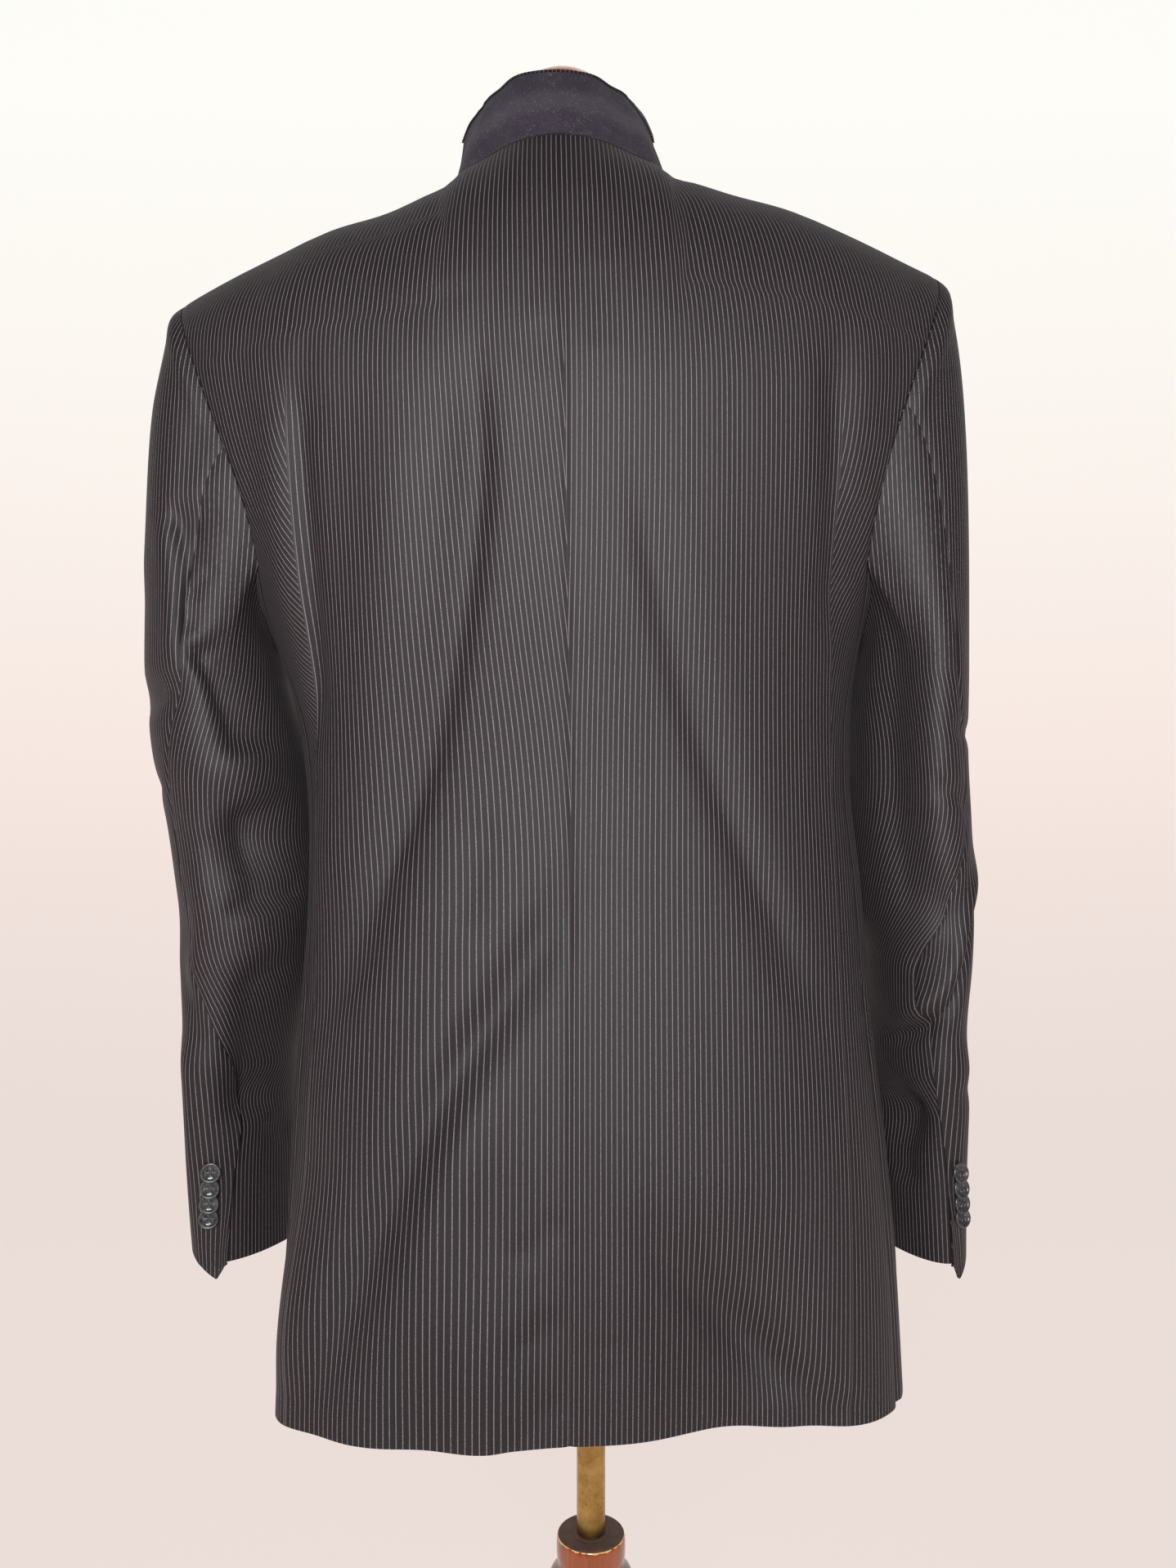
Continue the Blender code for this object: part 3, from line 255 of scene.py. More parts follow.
# Stem
# A post turned between centres from the same wood, with a cove and beads. Its bored top end is
# left matt from handling, and the varnish is chipped to the pale wood along its top edge.
STEM_TOP = 0.600
STEM_FOOT = BASE_THICKNESS + 0.0003
END_BROWN = (0.075, 0.040, 0.030)

stem_wood = varnished("stem_wood", (0.170, 0.026, 0.005), (0.560, 0.130, 0.018), STEM_TOP)
collar_wood = varnished("stem_ring_wood", (0.100, 0.040, 0.022), (0.270, 0.120, 0.065), gloss=0.16)

add, finish = blank("stem_end_grain")
place = object_place(add)
cloud = noise(add, place, 120.0, 5.0, Roughness=0.7)
rings = add("ShaderNodeTexWave", {"wave_type": "RINGS", "rings_direction": "Z"}, Vector=place, Scale=95.0,
            Distortion=3.0, Detail=3.0).outputs["Fac"]
dark_end, pale_end = (tuple(k * v for v in END_BROWN) for k in (0.60, 1.5))
color = ramp(add, cloud, ((0.25, dark_end), (0.80, pale_end)))
color = shaded(add, color, 0.25, rings, (0.0, (0.7, 0.7, 0.7)), (1.0, (1.2, 1.1, 1.0)))
end_grain = finish({"Roughness": 0.75, "Base Color": color}, cloud, 0.25, 0.0006)

stem_profile = softened((
    (0.0, STEM_TOP),
    (0.0112, STEM_TOP),
    (0.0118, STEM_TOP - 0.0008),
    (0.0124, STEM_TOP),
    (0.0215, STEM_TOP),
    (0.0230, STEM_TOP - 0.003),
    (0.0230, STEM_TOP - 0.016),
    (0.0205, STEM_TOP - 0.021),
    (0.0280, STEM_TOP - 0.027),
    (0.0285, STEM_TOP - 0.036),
    (0.0210, STEM_TOP - 0.046),
    (0.0185, STEM_TOP - 0.075),
    (0.0235, STEM_TOP - 0.170),
    (0.0290, STEM_TOP - 0.300),
    (0.0310, STEM_TOP - 0.400),
    (0.0250, STEM_TOP - 0.470),
    (0.0230, STEM_TOP - 0.490),
    (0.0380, STEM_TOP - 0.510),
    (0.0390, STEM_TOP - 0.525),
    (0.0300, STEM_TOP - 0.545),
    (0.0520, STEM_FOOT),
    (0.0, STEM_FOOT),
))


def stem_zone(upper, lower):
    """The stem's end, its bead and the rest have their own finish."""
    if upper[1] > STEM_TOP - 0.0012 and lower[1] > STEM_TOP - 0.0012:
        return 0
    if STEM_TOP - 0.046 < upper[1] < STEM_TOP - 0.019:
        return 2
    return 1


stem = lathe("turned_stem", stem_profile, 112, [end_grain, stem_wood, collar_wood], stem_zone)
stands_for(stem, "stem")

# Pole
# A drawn brass tube, 19 mm across, that slides down into the stem and plugs into the form. It is
# dull and spotted from years of hands.
POLE_RADIUS = 0.0095
POLE_FOOT, POLE_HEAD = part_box("pole")[0].z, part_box("pole")[1].z

add, finish = blank("dull_brass")
place = object_place(add)
lines = noise(add, stretched(add, place, (1.0, 1.0, 0.02)), 900.0, 3.0)
stains = noise(add, place, 70.0, 6.0, Roughness=0.7)
spots = noise(add, place, 420.0, 3.0)
color = ramp(add, stains, ((0.30, (0.270, 0.155, 0.040)), (0.62, (0.480, 0.300, 0.095)),
                           (0.85, (0.56, 0.37, 0.14))))
color = shaded(add, color, 0.8, spots, (0.26, (0.25, 0.17, 0.10)), (0.36, WHITE))
brass = finish({"Base Color": color, "Roughness": change(add, stains, 0.3, 0.8, 0.42, 0.24), "Metallic": 1.0},
               lines, 0.05, 0.0002)
pole_profile = ((0.0, POLE_HEAD), (POLE_RADIUS, POLE_HEAD), (POLE_RADIUS, POLE_FOOT), (0.0, POLE_FOOT))
pole = lathe("brass_pole", pole_profile, 72, [brass])
stands_for(pole, "pole")

# Dress form
# A limbless torso of padded fibre, covered in one taut skin of natural linen. The jacket hangs
# from its shoulders, and it leans a little on its pole.
Form = namedtuple("Form", "z half back front mid square")
FORM = (
    Form(0.800, 0.128, 0.080, 0.080, -0.006, 2.2),
    Form(0.812, 0.146, 0.094, 0.092, -0.006, 2.3),
    Form(0.870, 0.156, 0.102, 0.096, -0.006, 2.3),
    Form(0.950, 0.148, 0.094, 0.092, -0.006, 2.3),
    Form(1.040, 0.136, 0.084, 0.090, -0.006, 2.2),
    Form(1.120, 0.140, 0.088, 0.098, -0.006, 2.2),
    Form(1.220, 0.158, 0.098, 0.106, -0.006, 2.2),
    Form(1.300, 0.166, 0.102, 0.104, -0.006, 2.1),
    Form(1.370, 0.170, 0.094, 0.090, -0.005, 2.0),
    Form(1.410, 0.170, 0.082, 0.076, -0.004, 1.8),
    Form(1.4400, 0.166, 0.072, 0.062, -0.003, 1.7),
    Form(1.4590, 0.153, 0.067, 0.056, -0.002, 1.6),
    Form(1.4663, 0.137, 0.064, 0.052, -0.001, 1.6),
    Form(1.4741, 0.112, 0.060, 0.048, 0.001, 1.6),
    Form(1.4828, 0.078, 0.054, 0.044, 0.005, 1.8),
    Form(1.4920, 0.0570, 0.049, 0.044, 0.010, 1.9),
    Form(1.5040, 0.0500, 0.046, 0.045, 0.015, 2.0),
    Form(1.5388, 0.0465, 0.0445, 0.0445, 0.020, 2.0),
)
SHOULDER_TILT = 0.024
LEAN = math.radians(1.5)
FORM_BOTTOM = FORM[0].z
NECK_TOP = FORM[-1].z
NECK_MID = FORM[-1].mid
SKIN_INSET = 0.0009
LINEN = (0.560, 0.475, 0.350)


def column(table, name):
    """One named column of a table, as an array."""
    return np.array([getattr(row, name) for row in table], float)


def blend(knots, values, at):
    """A smooth curve through a table's rows, read at one or more places."""
    knots = np.asarray(knots, float)
    values = np.asarray(values, float)
    at = np.clip(np.asarray(at, float), knots[0], knots[-1])
    slope = np.gradient(values, knots)
    low = np.clip(np.searchsorted(knots, at, side="right") - 1, 0, len(knots) - 2)
    span = knots[low + 1] - knots[low]
    f = (at - knots[low]) / span
    start = values[low] * (2 * f**3 - 3 * f**2 + 1) + values[low + 1] * (3 * f**2 - 2 * f**3)
    turns = slope[low] * (f**3 - 2 * f**2 + f) + slope[low + 1] * (f**3 - f**2)
    return start + turns * span


def read(table, name, at, key="z"):
    """A named column of a table at a place along its key column."""
    return blend(column(table, key), column(table, name), at)


def ease(f):
    """A soft step from 0 to 1."""
    f = np.clip(f, 0.0, 1.0)
    return f * f * (3.0 - 2.0 * f)


def unit(vectors):
    """Vectors of length one."""
    return vectors / np.maximum(np.linalg.norm(vectors, axis=-1, keepdims=True), 1e-12)


def leaned(points):
    """Points of the form, tipped about the top of its pole."""
    x, z = points[..., 0].copy(), points[..., 2] - FORM_BOTTOM
    points = points.copy()
    points[..., 0] = x * math.cos(LEAN) - z * math.sin(LEAN)
    points[..., 2] = FORM_BOTTOM + x * math.sin(LEAN) + z * math.cos(LEAN)
    return points


form_knots = column(FORM, "z")
form_z = np.unique(np.concatenate([form_knots, np.linspace(form_knots[0], form_knots[-1], 96)]))
form_turn = np.radians(np.linspace(0.0, 360.0, 144, endpoint=False))


def form_read(name):
    """One named column of the form's table, at each row of its points."""
    return np.interp(form_z, form_knots, column(FORM, name))[:, None]


form_power = 2.0 / form_read("square")
inset = SKIN_INSET * (1.0 - ease((form_z - 1.490) / 0.012))[:, None]
sine, cosine = np.sin(form_turn)[None, :], np.cos(form_turn)[None, :]
form_x = (form_read("half") - inset) * np.sign(sine) * np.abs(sine) ** form_power
form_deep = np.where(cosine > 0, form_read("back") - inset, form_read("front") - inset)
form_y = form_read("mid") - form_deep * np.sign(cosine) * np.abs(cosine) ** form_power
form_sloped = SHOULDER_TILT * ease((form_z - 1.30) / 0.12) * (1.0 - ease((form_z - 1.484) / 0.020))
form_points = leaned(np.stack([form_x, form_y, form_z[:, None] + form_x * form_sloped[:, None]], axis=-1))
rows, cols = form_points.shape[:2]
faces = [(a, d, c, b) for a, b, c, d in round_faces(rows, cols)]
faces += [tuple(range(cols))[::-1], tuple(range((rows - 1) * cols, rows * cols))]

add, finish = blank("form_linen")
place = object_place(add)
weft, warp = (add("ShaderNodeTexWave", {"bands_direction": axis}, Vector=place, Scale=430.0, Distortion=1.5,
                  Detail=2.0).outputs["Fac"] for axis in "ZX")
weave = calc(add, "MULTIPLY", weft, warp)
slubs = noise(add, stretched(add, place, (0.1, 0.1, 1.0)), 900.0, 3.0)
color = ramp(add, slubs, ((0.30, tuple(0.72 * v for v in LINEN)), (0.65, LINEN)))
color = shaded(add, color, 0.25, weave, (0.0, (0.6, 0.6, 0.6)), (0.8, (1.1, 1.1, 1.1)))
color = shaded(add, color, 0.35, noise(add, place, 14.0, 4.0), (0.35, (0.82, 0.80, 0.77)), (0.65, WHITE))
linen = finish({"Roughness": 0.85, "Base Color": color, "Sheen Weight": 0.12}, weave, 0.25, 0.0004)
form = surface("linen_form", form_points.reshape(-1, 3).tolist(), faces, [linen], sharp_from=50)
stands_for(form, "dress_form")

# Neck cap
# A low dome turned from the stand's wood, varnished, that closes the form's neck. Only its crown
# shows over the raised collar.
CAP_RADIUS = 0.044
CAP_HEIGHT = 0.0475

cap_profile = [(CAP_RADIUS * math.cos(a), CAP_HEIGHT * math.sin(a))
               for a in np.linspace(math.pi / 2, 0.03, 26)]
cap_profile[0] = (0.0, CAP_HEIGHT)
cap_profile += [(CAP_RADIUS, 0.002), (CAP_RADIUS - 0.002, 0.0003), (0.0, 0.0003)]
cap_seat = leaned(np.array([[0.0, NECK_MID, NECK_TOP]]))[0]
cap_wood = varnished("cap_wood", (0.42, 0.115, 0.024), (0.76, 0.30, 0.085), gloss=0.30)
cap = lathe("turned_neck_cap", cap_profile, 96, [cap_wood])
cap.data.transform(Matrix.Translation(Vector(cap_seat)) @ Matrix.Rotation(-LEAN, 4, "Y"))
stands_for(cap, "neck_cap")

# Back
# The jacket is dark worsted suiting with a fine pale stripe woven into it. Each back is cut in one
# piece from neck to hem; the centre seam is shaped, so the stripes run into it above the waist.
CLOTH = 0.0020
SEAM_GAP = 0.00004
SEAM_STEP = 0.0012
SURFACE_LIFT = 0.0006
LEFT, RIGHT = -1, 1
SIDE_NAME = {LEFT: "left", RIGHT: "right"}
HEM_HEIGHT = 0.723
VENT_TOP = 0.965
SEAM_TOP = 1.235
CHEST_HEIGHT = 1.330
NAPE_HEIGHT = 1.500
NECK_HALF_WIDTH = 0.0720
SHOULDER_RISE = 0.170
SHOULDER_SEAM_BACK = 0.0018
SIDE_SEAM_BACK = 0.94
SIDE_SEAM_FRONT = 0.93
RING_SAMPLES = 181
STRIPE_PITCH = 0.00295
STRIPE_WIDTH = 0.00042
THREAD = 0.0040
BACK_WIDTH = 0.255
SHOULDER_CLOTH = 0.235
FLAT_NOISE = {"noise_dimensions": "2D"}

# One row for each height of the jacket's torso: the centre back seam's x, the half widths from
# it, the depths from y = mid, and how boxy the half ring is behind and before.
Torso = namedtuple("Torso", "z seam left right back front mid square square_front")
TORSO = (
    Torso(0.723, -0.0125, 0.182, 0.210, 0.114, 0.116, -0.008, 3.4, 2.8),
    Torso(0.800, -0.0120, 0.180, 0.205, 0.119, 0.116, -0.008, 3.3, 2.8),
    Torso(0.880, -0.0120, 0.178, 0.199, 0.118, 0.114, -0.008, 3.1, 2.7),
    Torso(0.960, -0.0120, 0.174, 0.191, 0.112, 0.111, -0.008, 2.9, 2.7),
    Torso(1.040, -0.0120, 0.170, 0.186, 0.104, 0.110, -0.008, 2.7, 2.6),
    Torso(1.100, -0.0120, 0.172, 0.180, 0.101, 0.112, -0.008, 2.6, 2.6),
    Torso(1.160, -0.0128, 0.182, 0.183, 0.106, 0.117, -0.007, 2.5, 2.5),
    Torso(1.200, -0.0134, 0.196, 0.191, 0.112, 0.121, -0.006, 2.4, 2.4),
    Torso(1.240, -0.0140, 0.215, 0.207, 0.117, 0.123, -0.005, 2.3, 2.3),
    Torso(1.285, -0.0146, 0.238, 0.231, 0.121, 0.123, -0.004, 2.25, 2.2),
    Torso(1.330, -0.0152, 0.254, 0.249, 0.123, 0.120, -0.004, 2.2, 2.2),
    Torso(1.420, -0.0178, 0.288, 0.283, 0.123, 0.120, -0.004, 2.2, 2.2),
    Torso(1.500, -0.0201, 0.302, 0.297, 0.123, 0.120, -0.004, 2.2, 2.2),
)

# The shoulder line: height of the ridge at each distance out from the seam.
Ridge = namedtuple("Ridge", "out left right")
RIDGE = (
    Ridge(-0.030, 1.5240, 1.5240),
    Ridge(0.000, 1.5290, 1.5290),
    Ridge(0.020, 1.5242, 1.5242),
    Ridge(0.046, 1.5078, 1.5100),
    Ridge(0.064, 1.4965, 1.5010),
    Ridge(0.072, 1.4890, 1.4945),
    Ridge(0.085, 1.4825, 1.4910),
    Ridge(0.107, 1.4720, 1.4840),
    Ridge(0.145, 1.4605, 1.4740),
    Ridge(0.185, 1.4425, 1.4575),
    Ridge(0.224, 1.4240, 1.4400),
    Ridge(0.249, 1.4115, 1.4300),
)

# The armhole seam: its distance out from the centre back seam at each height.
Armhole = namedtuple("Armhole", "z left_back right_back front")
ARMHOLE = (
    Armhole(1.235, 0.1915, 0.1845, 0.184),
    Armhole(1.260, 0.1950, 0.1870, 0.182),
    Armhole(1.285, 0.2015, 0.1920, 0.183),
    Armhole(1.310, 0.2105, 0.1985, 0.188),
    Armhole(1.335, 0.2200, 0.2075, 0.197),
    Armhole(1.365, 0.2305, 0.2200, 0.212),
    Armhole(1.395, 0.2400, 0.2320, 0.229),
    Armhole(1.420, 0.2450, 0.2385, 0.241),
)

# The fronts' inner edge, out from the middle.
Opening = namedtuple("Opening", "z out")
OPENING = (
    Opening(0.723, 0.058),
    Opening(0.732, 0.036),
    Opening(0.750, 0.018),
    Opening(0.790, 0.001),
    Opening(0.860, -0.012),
    Opening(0.950, -0.018),
    Opening(1.090, -0.018),
    Opening(1.200, 0.004),
    Opening(1.330, 0.032),
    Opening(1.430, 0.0540),
    Opening(1.500, 0.0720),
)

# The largest folds of the hanging cloth, as the solids have them.
Fold = namedtuple("Fold", "x_top z_top x_low z_low bow wide out")
FOLDS = (
    Fold(-0.066, 1.345, -0.155, 0.960, 0.020, 0.016, -0.0050),
    Fold(-0.110, 1.330, -0.172, 1.020, 0.012, 0.022, 0.0040),
    Fold(-0.020, 1.030, -0.160, 0.740, -0.012, 0.017, -0.0060),
    Fold(-0.070, 0.930, -0.118, 0.730, 0.000, 0.024, 0.0050),
    Fold(-0.174, 1.330, -0.166, 1.140, 0.000, 0.008, -0.0062),
    Fold(-0.190, 1.330, -0.186, 1.200, 0.000, 0.012, 0.0028),
    Fold(0.145, 1.360, 0.147, 1.200, 0.000, 0.011, -0.0046),
    Fold(0.028, 1.270, 0.130, 0.960, -0.008, 0.014, -0.0030),
    Fold(0.030, 0.860, 0.135, 0.735, -0.006, 0.019, -0.0060),
    Fold(-0.060, 0.840, -0.064, 0.723, 0.000, 0.030, 0.0090),
    Fold(0.085, 0.860, 0.085, 0.723, 0.000, 0.045, -0.0190),
    Fold(-0.170, 0.860, -0.172, 0.723, 0.000, 0.040, 0.0140),
)

# Finer creases: a line of x, z points down the cloth, the half widths on its two sides (left and
# right of the line as it runs down, seen from behind) and how far the cloth stands out.
Crease = namedtuple("Crease", "line one other out")
BACK_CREASES = (
    Crease(((-0.067, 1.350), (-0.063, 1.270), (-0.075, 1.185), (-0.096, 1.104), (-0.134, 1.019)),
           0.012, 0.006, -0.0034),
    Crease(((-0.031, 1.364), (-0.032, 1.310), (-0.031, 1.268)), 0.010, 0.012, -0.0014),
    Crease(((-0.058, 1.080), (-0.070, 1.040), (-0.076, 1.010)), 0.010, 0.010, -0.0012),
    Crease(((-0.016, 1.043), (-0.040, 0.985), (-0.077, 0.938), (-0.105, 0.877), (-0.134, 0.815),
            (-0.158, 0.749)), 0.010, 0.018, -0.0022),
    Crease(((-0.015, 0.853), (-0.046, 0.830)), 0.007, 0.009, -0.0018),
    Crease(((-0.014, 0.801), (-0.050, 0.776)), 0.007, 0.010, -0.0020),
    Crease(((-0.013, 0.754), (-0.054, 0.722)), 0.007, 0.010, -0.0018),
    Crease(((0.026, 1.270), (0.045, 1.175), (0.065, 1.115), (0.097, 1.043), (0.135, 0.970)),
           0.006, 0.009, -0.0014),
    Crease(((0.018, 0.854), (0.065, 0.797), (0.103, 0.754), (0.127, 0.735)), 0.009, 0.013, -0.0020),
    Crease(((0.008, 0.787), (0.012, 0.760)), 0.010, 0.012, -0.0014),
    Crease(((0.070, 0.760), (0.072, 0.725)), 0.010, 0.014, 0.0016),
    Crease(((0.005, 1.397), (0.008, 1.350)), 0.012, 0.012, -0.0010),
    Crease(((0.140, 1.345), (0.143, 1.300), (0.142, 1.250)), 0.006, 0.008, -0.0008),
    Crease(((0.160, 1.270), (0.161, 1.225)), 0.006, 0.007, -0.0018),
    Crease(((-0.177, 1.330), (-0.174, 1.230), (-0.172, 1.135)), 0.014, 0.0035, 0.0030),
    Crease(((-0.214, 1.364), (-0.200, 1.270)), 0.008, 0.010, -0.0016),
    Crease(((-0.167, 1.364), (-0.162, 1.300)), 0.008, 0.008, -0.0012),
    Crease(((-0.190, 1.440), (-0.205, 1.385), (-0.206, 1.340)), 0.012, 0.010, -0.0012),
    Crease(((0.195, 1.430), (0.190, 1.370), (0.176, 1.310)), 0.010, 0.012, -0.0014),
    Crease(((-0.100, 1.440), (-0.085, 1.380)), 0.022, 0.022, 0.0010),
)


def half_rings(side, level):
    """The jacket's half ring at each level, from the centre back around to the front.

    Up to CHEST_HEIGHT a level is a height. Above it, level - CHEST_HEIGHT goes from 0 to 1 as
    the cloth rises and turns over to the neckline and the shoulder line.
    """
    level = np.atleast_1d(np.asarray(level, float))[:, None]
    turn = np.radians(np.linspace(0.0, 190.0, RING_SAMPLES))[None, :]
    z = np.minimum(level, CHEST_HEIGHT)
    over = np.maximum(level - CHEST_HEIGHT, 0.0)
    name = SIDE_NAME[side]
    behind = np.cos(turn) > 0.0
    half_width = read(TORSO, name, z + over * SHOULDER_RISE)
    power = 2.0 / np.where(behind, read(TORSO, "square", z), read(TORSO, "square_front", z))
    out = half_width * np.sign(np.sin(turn)) * np.abs(np.sin(turn)) ** power
    deep = np.where(behind, read(TORSO, "back", z), -read(TORSO, "front", z))
    ridge = read(RIDGE, name, out, "out")
    neck_end = float(read(RIDGE, name, NECK_HALF_WIDTH, "out"))
    neck = NAPE_HEIGHT + (neck_end - NAPE_HEIGHT) * (np.clip(out / NECK_HALF_WIDTH, 0.0, 1.0)) ** 1.5
    cut = behind & (out < NECK_HALF_WIDTH)
    reach = np.where(cut, (neck - CHEST_HEIGHT) / (ridge - CHEST_HEIGHT), 1.0)
    angle = over * np.arcsin(np.clip(reach, 0.0, 1.0))
    height = z + (ridge - CHEST_HEIGHT) * np.sin(angle)
    x = read(TORSO, "seam", height) + side * out
    depth = deep * np.abs(np.cos(turn)) ** power
    y = read(TORSO, "mid", z) * np.cos(angle) - depth * np.cos(angle)
    return np.stack([x, y, height], axis=-1), out


def run_along(points, axis=0):
    """Distance run along a line, or along each line of a grid, at each of its points."""
    steps = np.linalg.norm(np.diff(points, axis=axis), axis=-1)
    start = np.zeros_like(np.take(steps, [0], axis=axis))
    return np.concatenate([start, np.cumsum(steps, axis=axis)], axis=axis)


def places(side, level, out, arc):
    """Distances along each half ring of the side panel's two edges, the opening and the middle."""
    name = SIDE_NAME[side]
    widest = np.argmax(out, axis=1)
    found = np.zeros((4, len(level)))
    for i, value in enumerate(level):
        w = widest[i]
        z = min(value, CHEST_HEIGHT)
        half_width = read(TORSO, name, z)
        back_out = half_width * SIDE_SEAM_BACK
        front_out = half_width * SIDE_SEAM_FRONT
        if value > SEAM_TOP - 1e-9:
            over = max(value - CHEST_HEIGHT, 0.0)
            ridge = read(RIDGE, name, 0.24, "out")
            height = z + (ridge - CHEST_HEIGHT) * math.sin(over * math.pi / 2)
            back_out = read(ARMHOLE, name + "_back", height)
            front_out = read(ARMHOLE, "front", height)
        elif value > SEAM_TOP - 0.10:
            near = float(ease((value - SEAM_TOP + 0.10) / 0.10))
            back_out += near * (read(ARMHOLE, name + "_back", SEAM_TOP) - back_out)
            front_out += near * (read(ARMHOLE, "front", SEAM_TOP) - front_out)
        found[0, i] = np.interp(back_out, out[i, : w + 1], arc[i, : w + 1])
        found[1, i] = np.interp(-front_out, -out[i, w:], arc[i, w:])
        height = z + SHOULDER_RISE * math.sin((value - z) * math.pi / 2)
        found[2, i] = np.interp(-read(OPENING, "out", height), -out[i, w:], arc[i, w:])
        found[3, i] = np.interp(0.0, -out[i, w:], arc[i, w:])
    return found


def torso_sheet(side):
    """One side of the torso as an even grid over level and distance round, with its edges."""
    levels = np.concatenate([np.linspace(HEM_HEIGHT - 0.004, CHEST_HEIGHT, 246)[:-1],
                             CHEST_HEIGHT + np.linspace(0.0, 1.0, 101)])
    rings, out = half_rings(side, levels)
    arc = run_along(rings, 1)
    edges = places(side, levels, out, arc)
    share = np.linspace(0.0, 1.0, 421)
    even = np.empty((len(levels), len(share), 3))
    for i in range(len(levels)):
        for axis in range(3):
            even[i, :, axis] = np.interp(share * arc[i, -1], arc[i], rings[i, :, axis])
    return levels, arc[:, -1], even, edges


SHEETS = {LEFT: torso_sheet(LEFT), RIGHT: torso_sheet(RIGHT)}


def edges_at(side, level):
    """Distances round to the side panel's two edges, the opening and the middle, at each level."""
    levels, _, _, edges = SHEETS[side]
    return [np.interp(level, levels, edge) for edge in edges]


def on_torso(side, level, where):
    """Points of the torso at a level and a distance round from the centre back."""
    levels, length, even, _ = SHEETS[side]
    level = np.clip(level, levels[0], levels[-1])
    row = np.clip(np.searchsorted(levels, level, side="right") - 1, 0, len(levels) - 2)
    f = ((level - levels[row]) / (levels[row + 1] - levels[row]))[..., None]
    found = 0.0
    for step, weight in ((0, 1.0 - f), (1, f)):
        at = np.clip(where / length[row + step], 0.0, 1.0) * (even.shape[1] - 1)
        col = np.clip(at.astype(int), 0, even.shape[1] - 2)
        g = (at - col)[..., None]
        found = found + weight * (even[row + step, col] * (1.0 - g) + even[row + step, col + 1] * g)
    return found


def torso_facing(side, level, where):
    """Outward unit normals of the torso."""
    along = on_torso(side, level, where + 0.003) - on_torso(side, level, where - 0.003)
    up = on_torso(side, level + 0.005, where) - on_torso(side, level - 0.005, where)
    return unit(np.cross(along, up) * side)


def fold_height(points):
    """How far the back's folds push the cloth out at each point."""
    total = np.zeros(points.shape[:-1])
    for fold in FOLDS:
        f = (fold.z_top - points[..., 2]) / (fold.z_top - fold.z_low)
        inside = np.clip(f, 0.0, 1.0)
        path = fold.x_top + (fold.x_low - fold.x_top) * inside
        path = path + fold.bow * 4.0 * inside * (1.0 - inside)
        across = (points[..., 0] - path) / fold.wide
        fade = ease((f + 0.15) / (0.90 if fold.z_top < 0.87 else 0.40))
        if fold.z_low > HEM_HEIGHT + 0.03:
            fade = fade * ease((1.15 - f) / 0.30)
        total += fold.out * np.exp(-across * across) * fade
    return total


def crease_height(creases, x, z):
    """How far the creases push the cloth out, at places on the cloth."""
    total = np.zeros_like(x)
    for number, crease in enumerate(creases):
        line = np.array(crease.line, float)
        arc = run_along(line)
        at = np.linspace(0.0, arc[-1], max(8, int(arc[-1] / 0.006)))
        path = np.stack([blend(arc, line[:, 0], at), blend(arc, line[:, 1], at)], axis=-1)
        run = unit(np.gradient(path, axis=0))
        away = np.stack([x[..., None] - path[:, 0], z[..., None] - path[:, 1]], axis=-1)
        near = np.argmin(np.sum(away * away, axis=-1), axis=-1)
        off = np.take_along_axis(away, near[..., None, None], axis=-2)[..., 0, :]
        along = run[near]
        across = off[..., 0] * along[..., 1] - off[..., 1] * along[..., 0]
        past = off[..., 0] * along[..., 0] + off[..., 1] * along[..., 1]
        f = (at[near] + past) / arc[-1]
        wide = np.where(across > 0.0, crease.one, crease.other)
        uneven = 0.85 + 0.15 * np.sin(7.0 * f + 2.1 * number)
        fade = ease((f + 0.06) / 0.24) * ease((1.06 - f) / 0.24)
        total += crease.out * uneven * fade * np.exp(-(across / wide) ** 2)
    return total


# How far the shaped centre seam and the cloth drawn in behind the arm take the stripes sideways,
# at each height.
Grain = namedtuple("Grain", "z seam_left seam_right arm_left arm_right")
GRAIN = (
    Grain(0.723, 0.0270, 0.0080, 0.140, 0.060),
    Grain(1.000, 0.0270, 0.0080, 0.140, 0.060),
    Grain(1.060, 0.0262, 0.0078, 0.140, 0.060),
    Grain(1.130, 0.0215, 0.0065, 0.126, 0.058),
    Grain(1.180, 0.0160, 0.0045, 0.078, 0.048),
    Grain(1.240, 0.0100, 0.0022, 0.036, 0.018),
    Grain(1.300, 0.0045, 0.0008, 0.009, 0.002),
    Grain(1.350, 0.0008, 0.0002, 0.000, 0.000),
    Grain(1.420, 0.0000, 0.0000, 0.000, 0.000),
    Grain(1.600, 0.0000, 0.0000, 0.000, 0.000),
)

# The pleat behind each arm, by its distance round from the centre seam. The stripes turn within
# its edge, which widens by PLEAT_SPREAD above the place where they run straight on.
ARM_PLEAT = {LEFT: 0.167, RIGHT: 0.168}
PLEAT_EDGE = 0.0005
PLEAT_SPREAD = 0.0014
PLEAT_TOP = 1.315


def stripe_place(side, where, points):
    """Where each point of the back lies across the cloth's grain."""
    name = SIDE_NAME[side]
    z = points[..., 2]
    taken = read(GRAIN, "seam_" + name, z) * np.exp(-(where / 0.085) ** 2)
    drawn = read(GRAIN, "arm_" + name, z) * ease((where - ARM_PLEAT[side] + PLEAT_EDGE) / (2.0 * PLEAT_EDGE))
    return where + taken + drawn


def seen_behind(facing):
    """1 where the cloth faces backwards, easing to 0 towards the sides."""
    return ease(-facing[..., 1] * 1.6 - 0.2)


def seam_dip(near, depth=0.0009, width=0.0022):
    """Cloth pressed down towards a seam, by the distance to it."""
    return -depth * np.exp(-(np.maximum(near, 0.0) / width) ** 2)


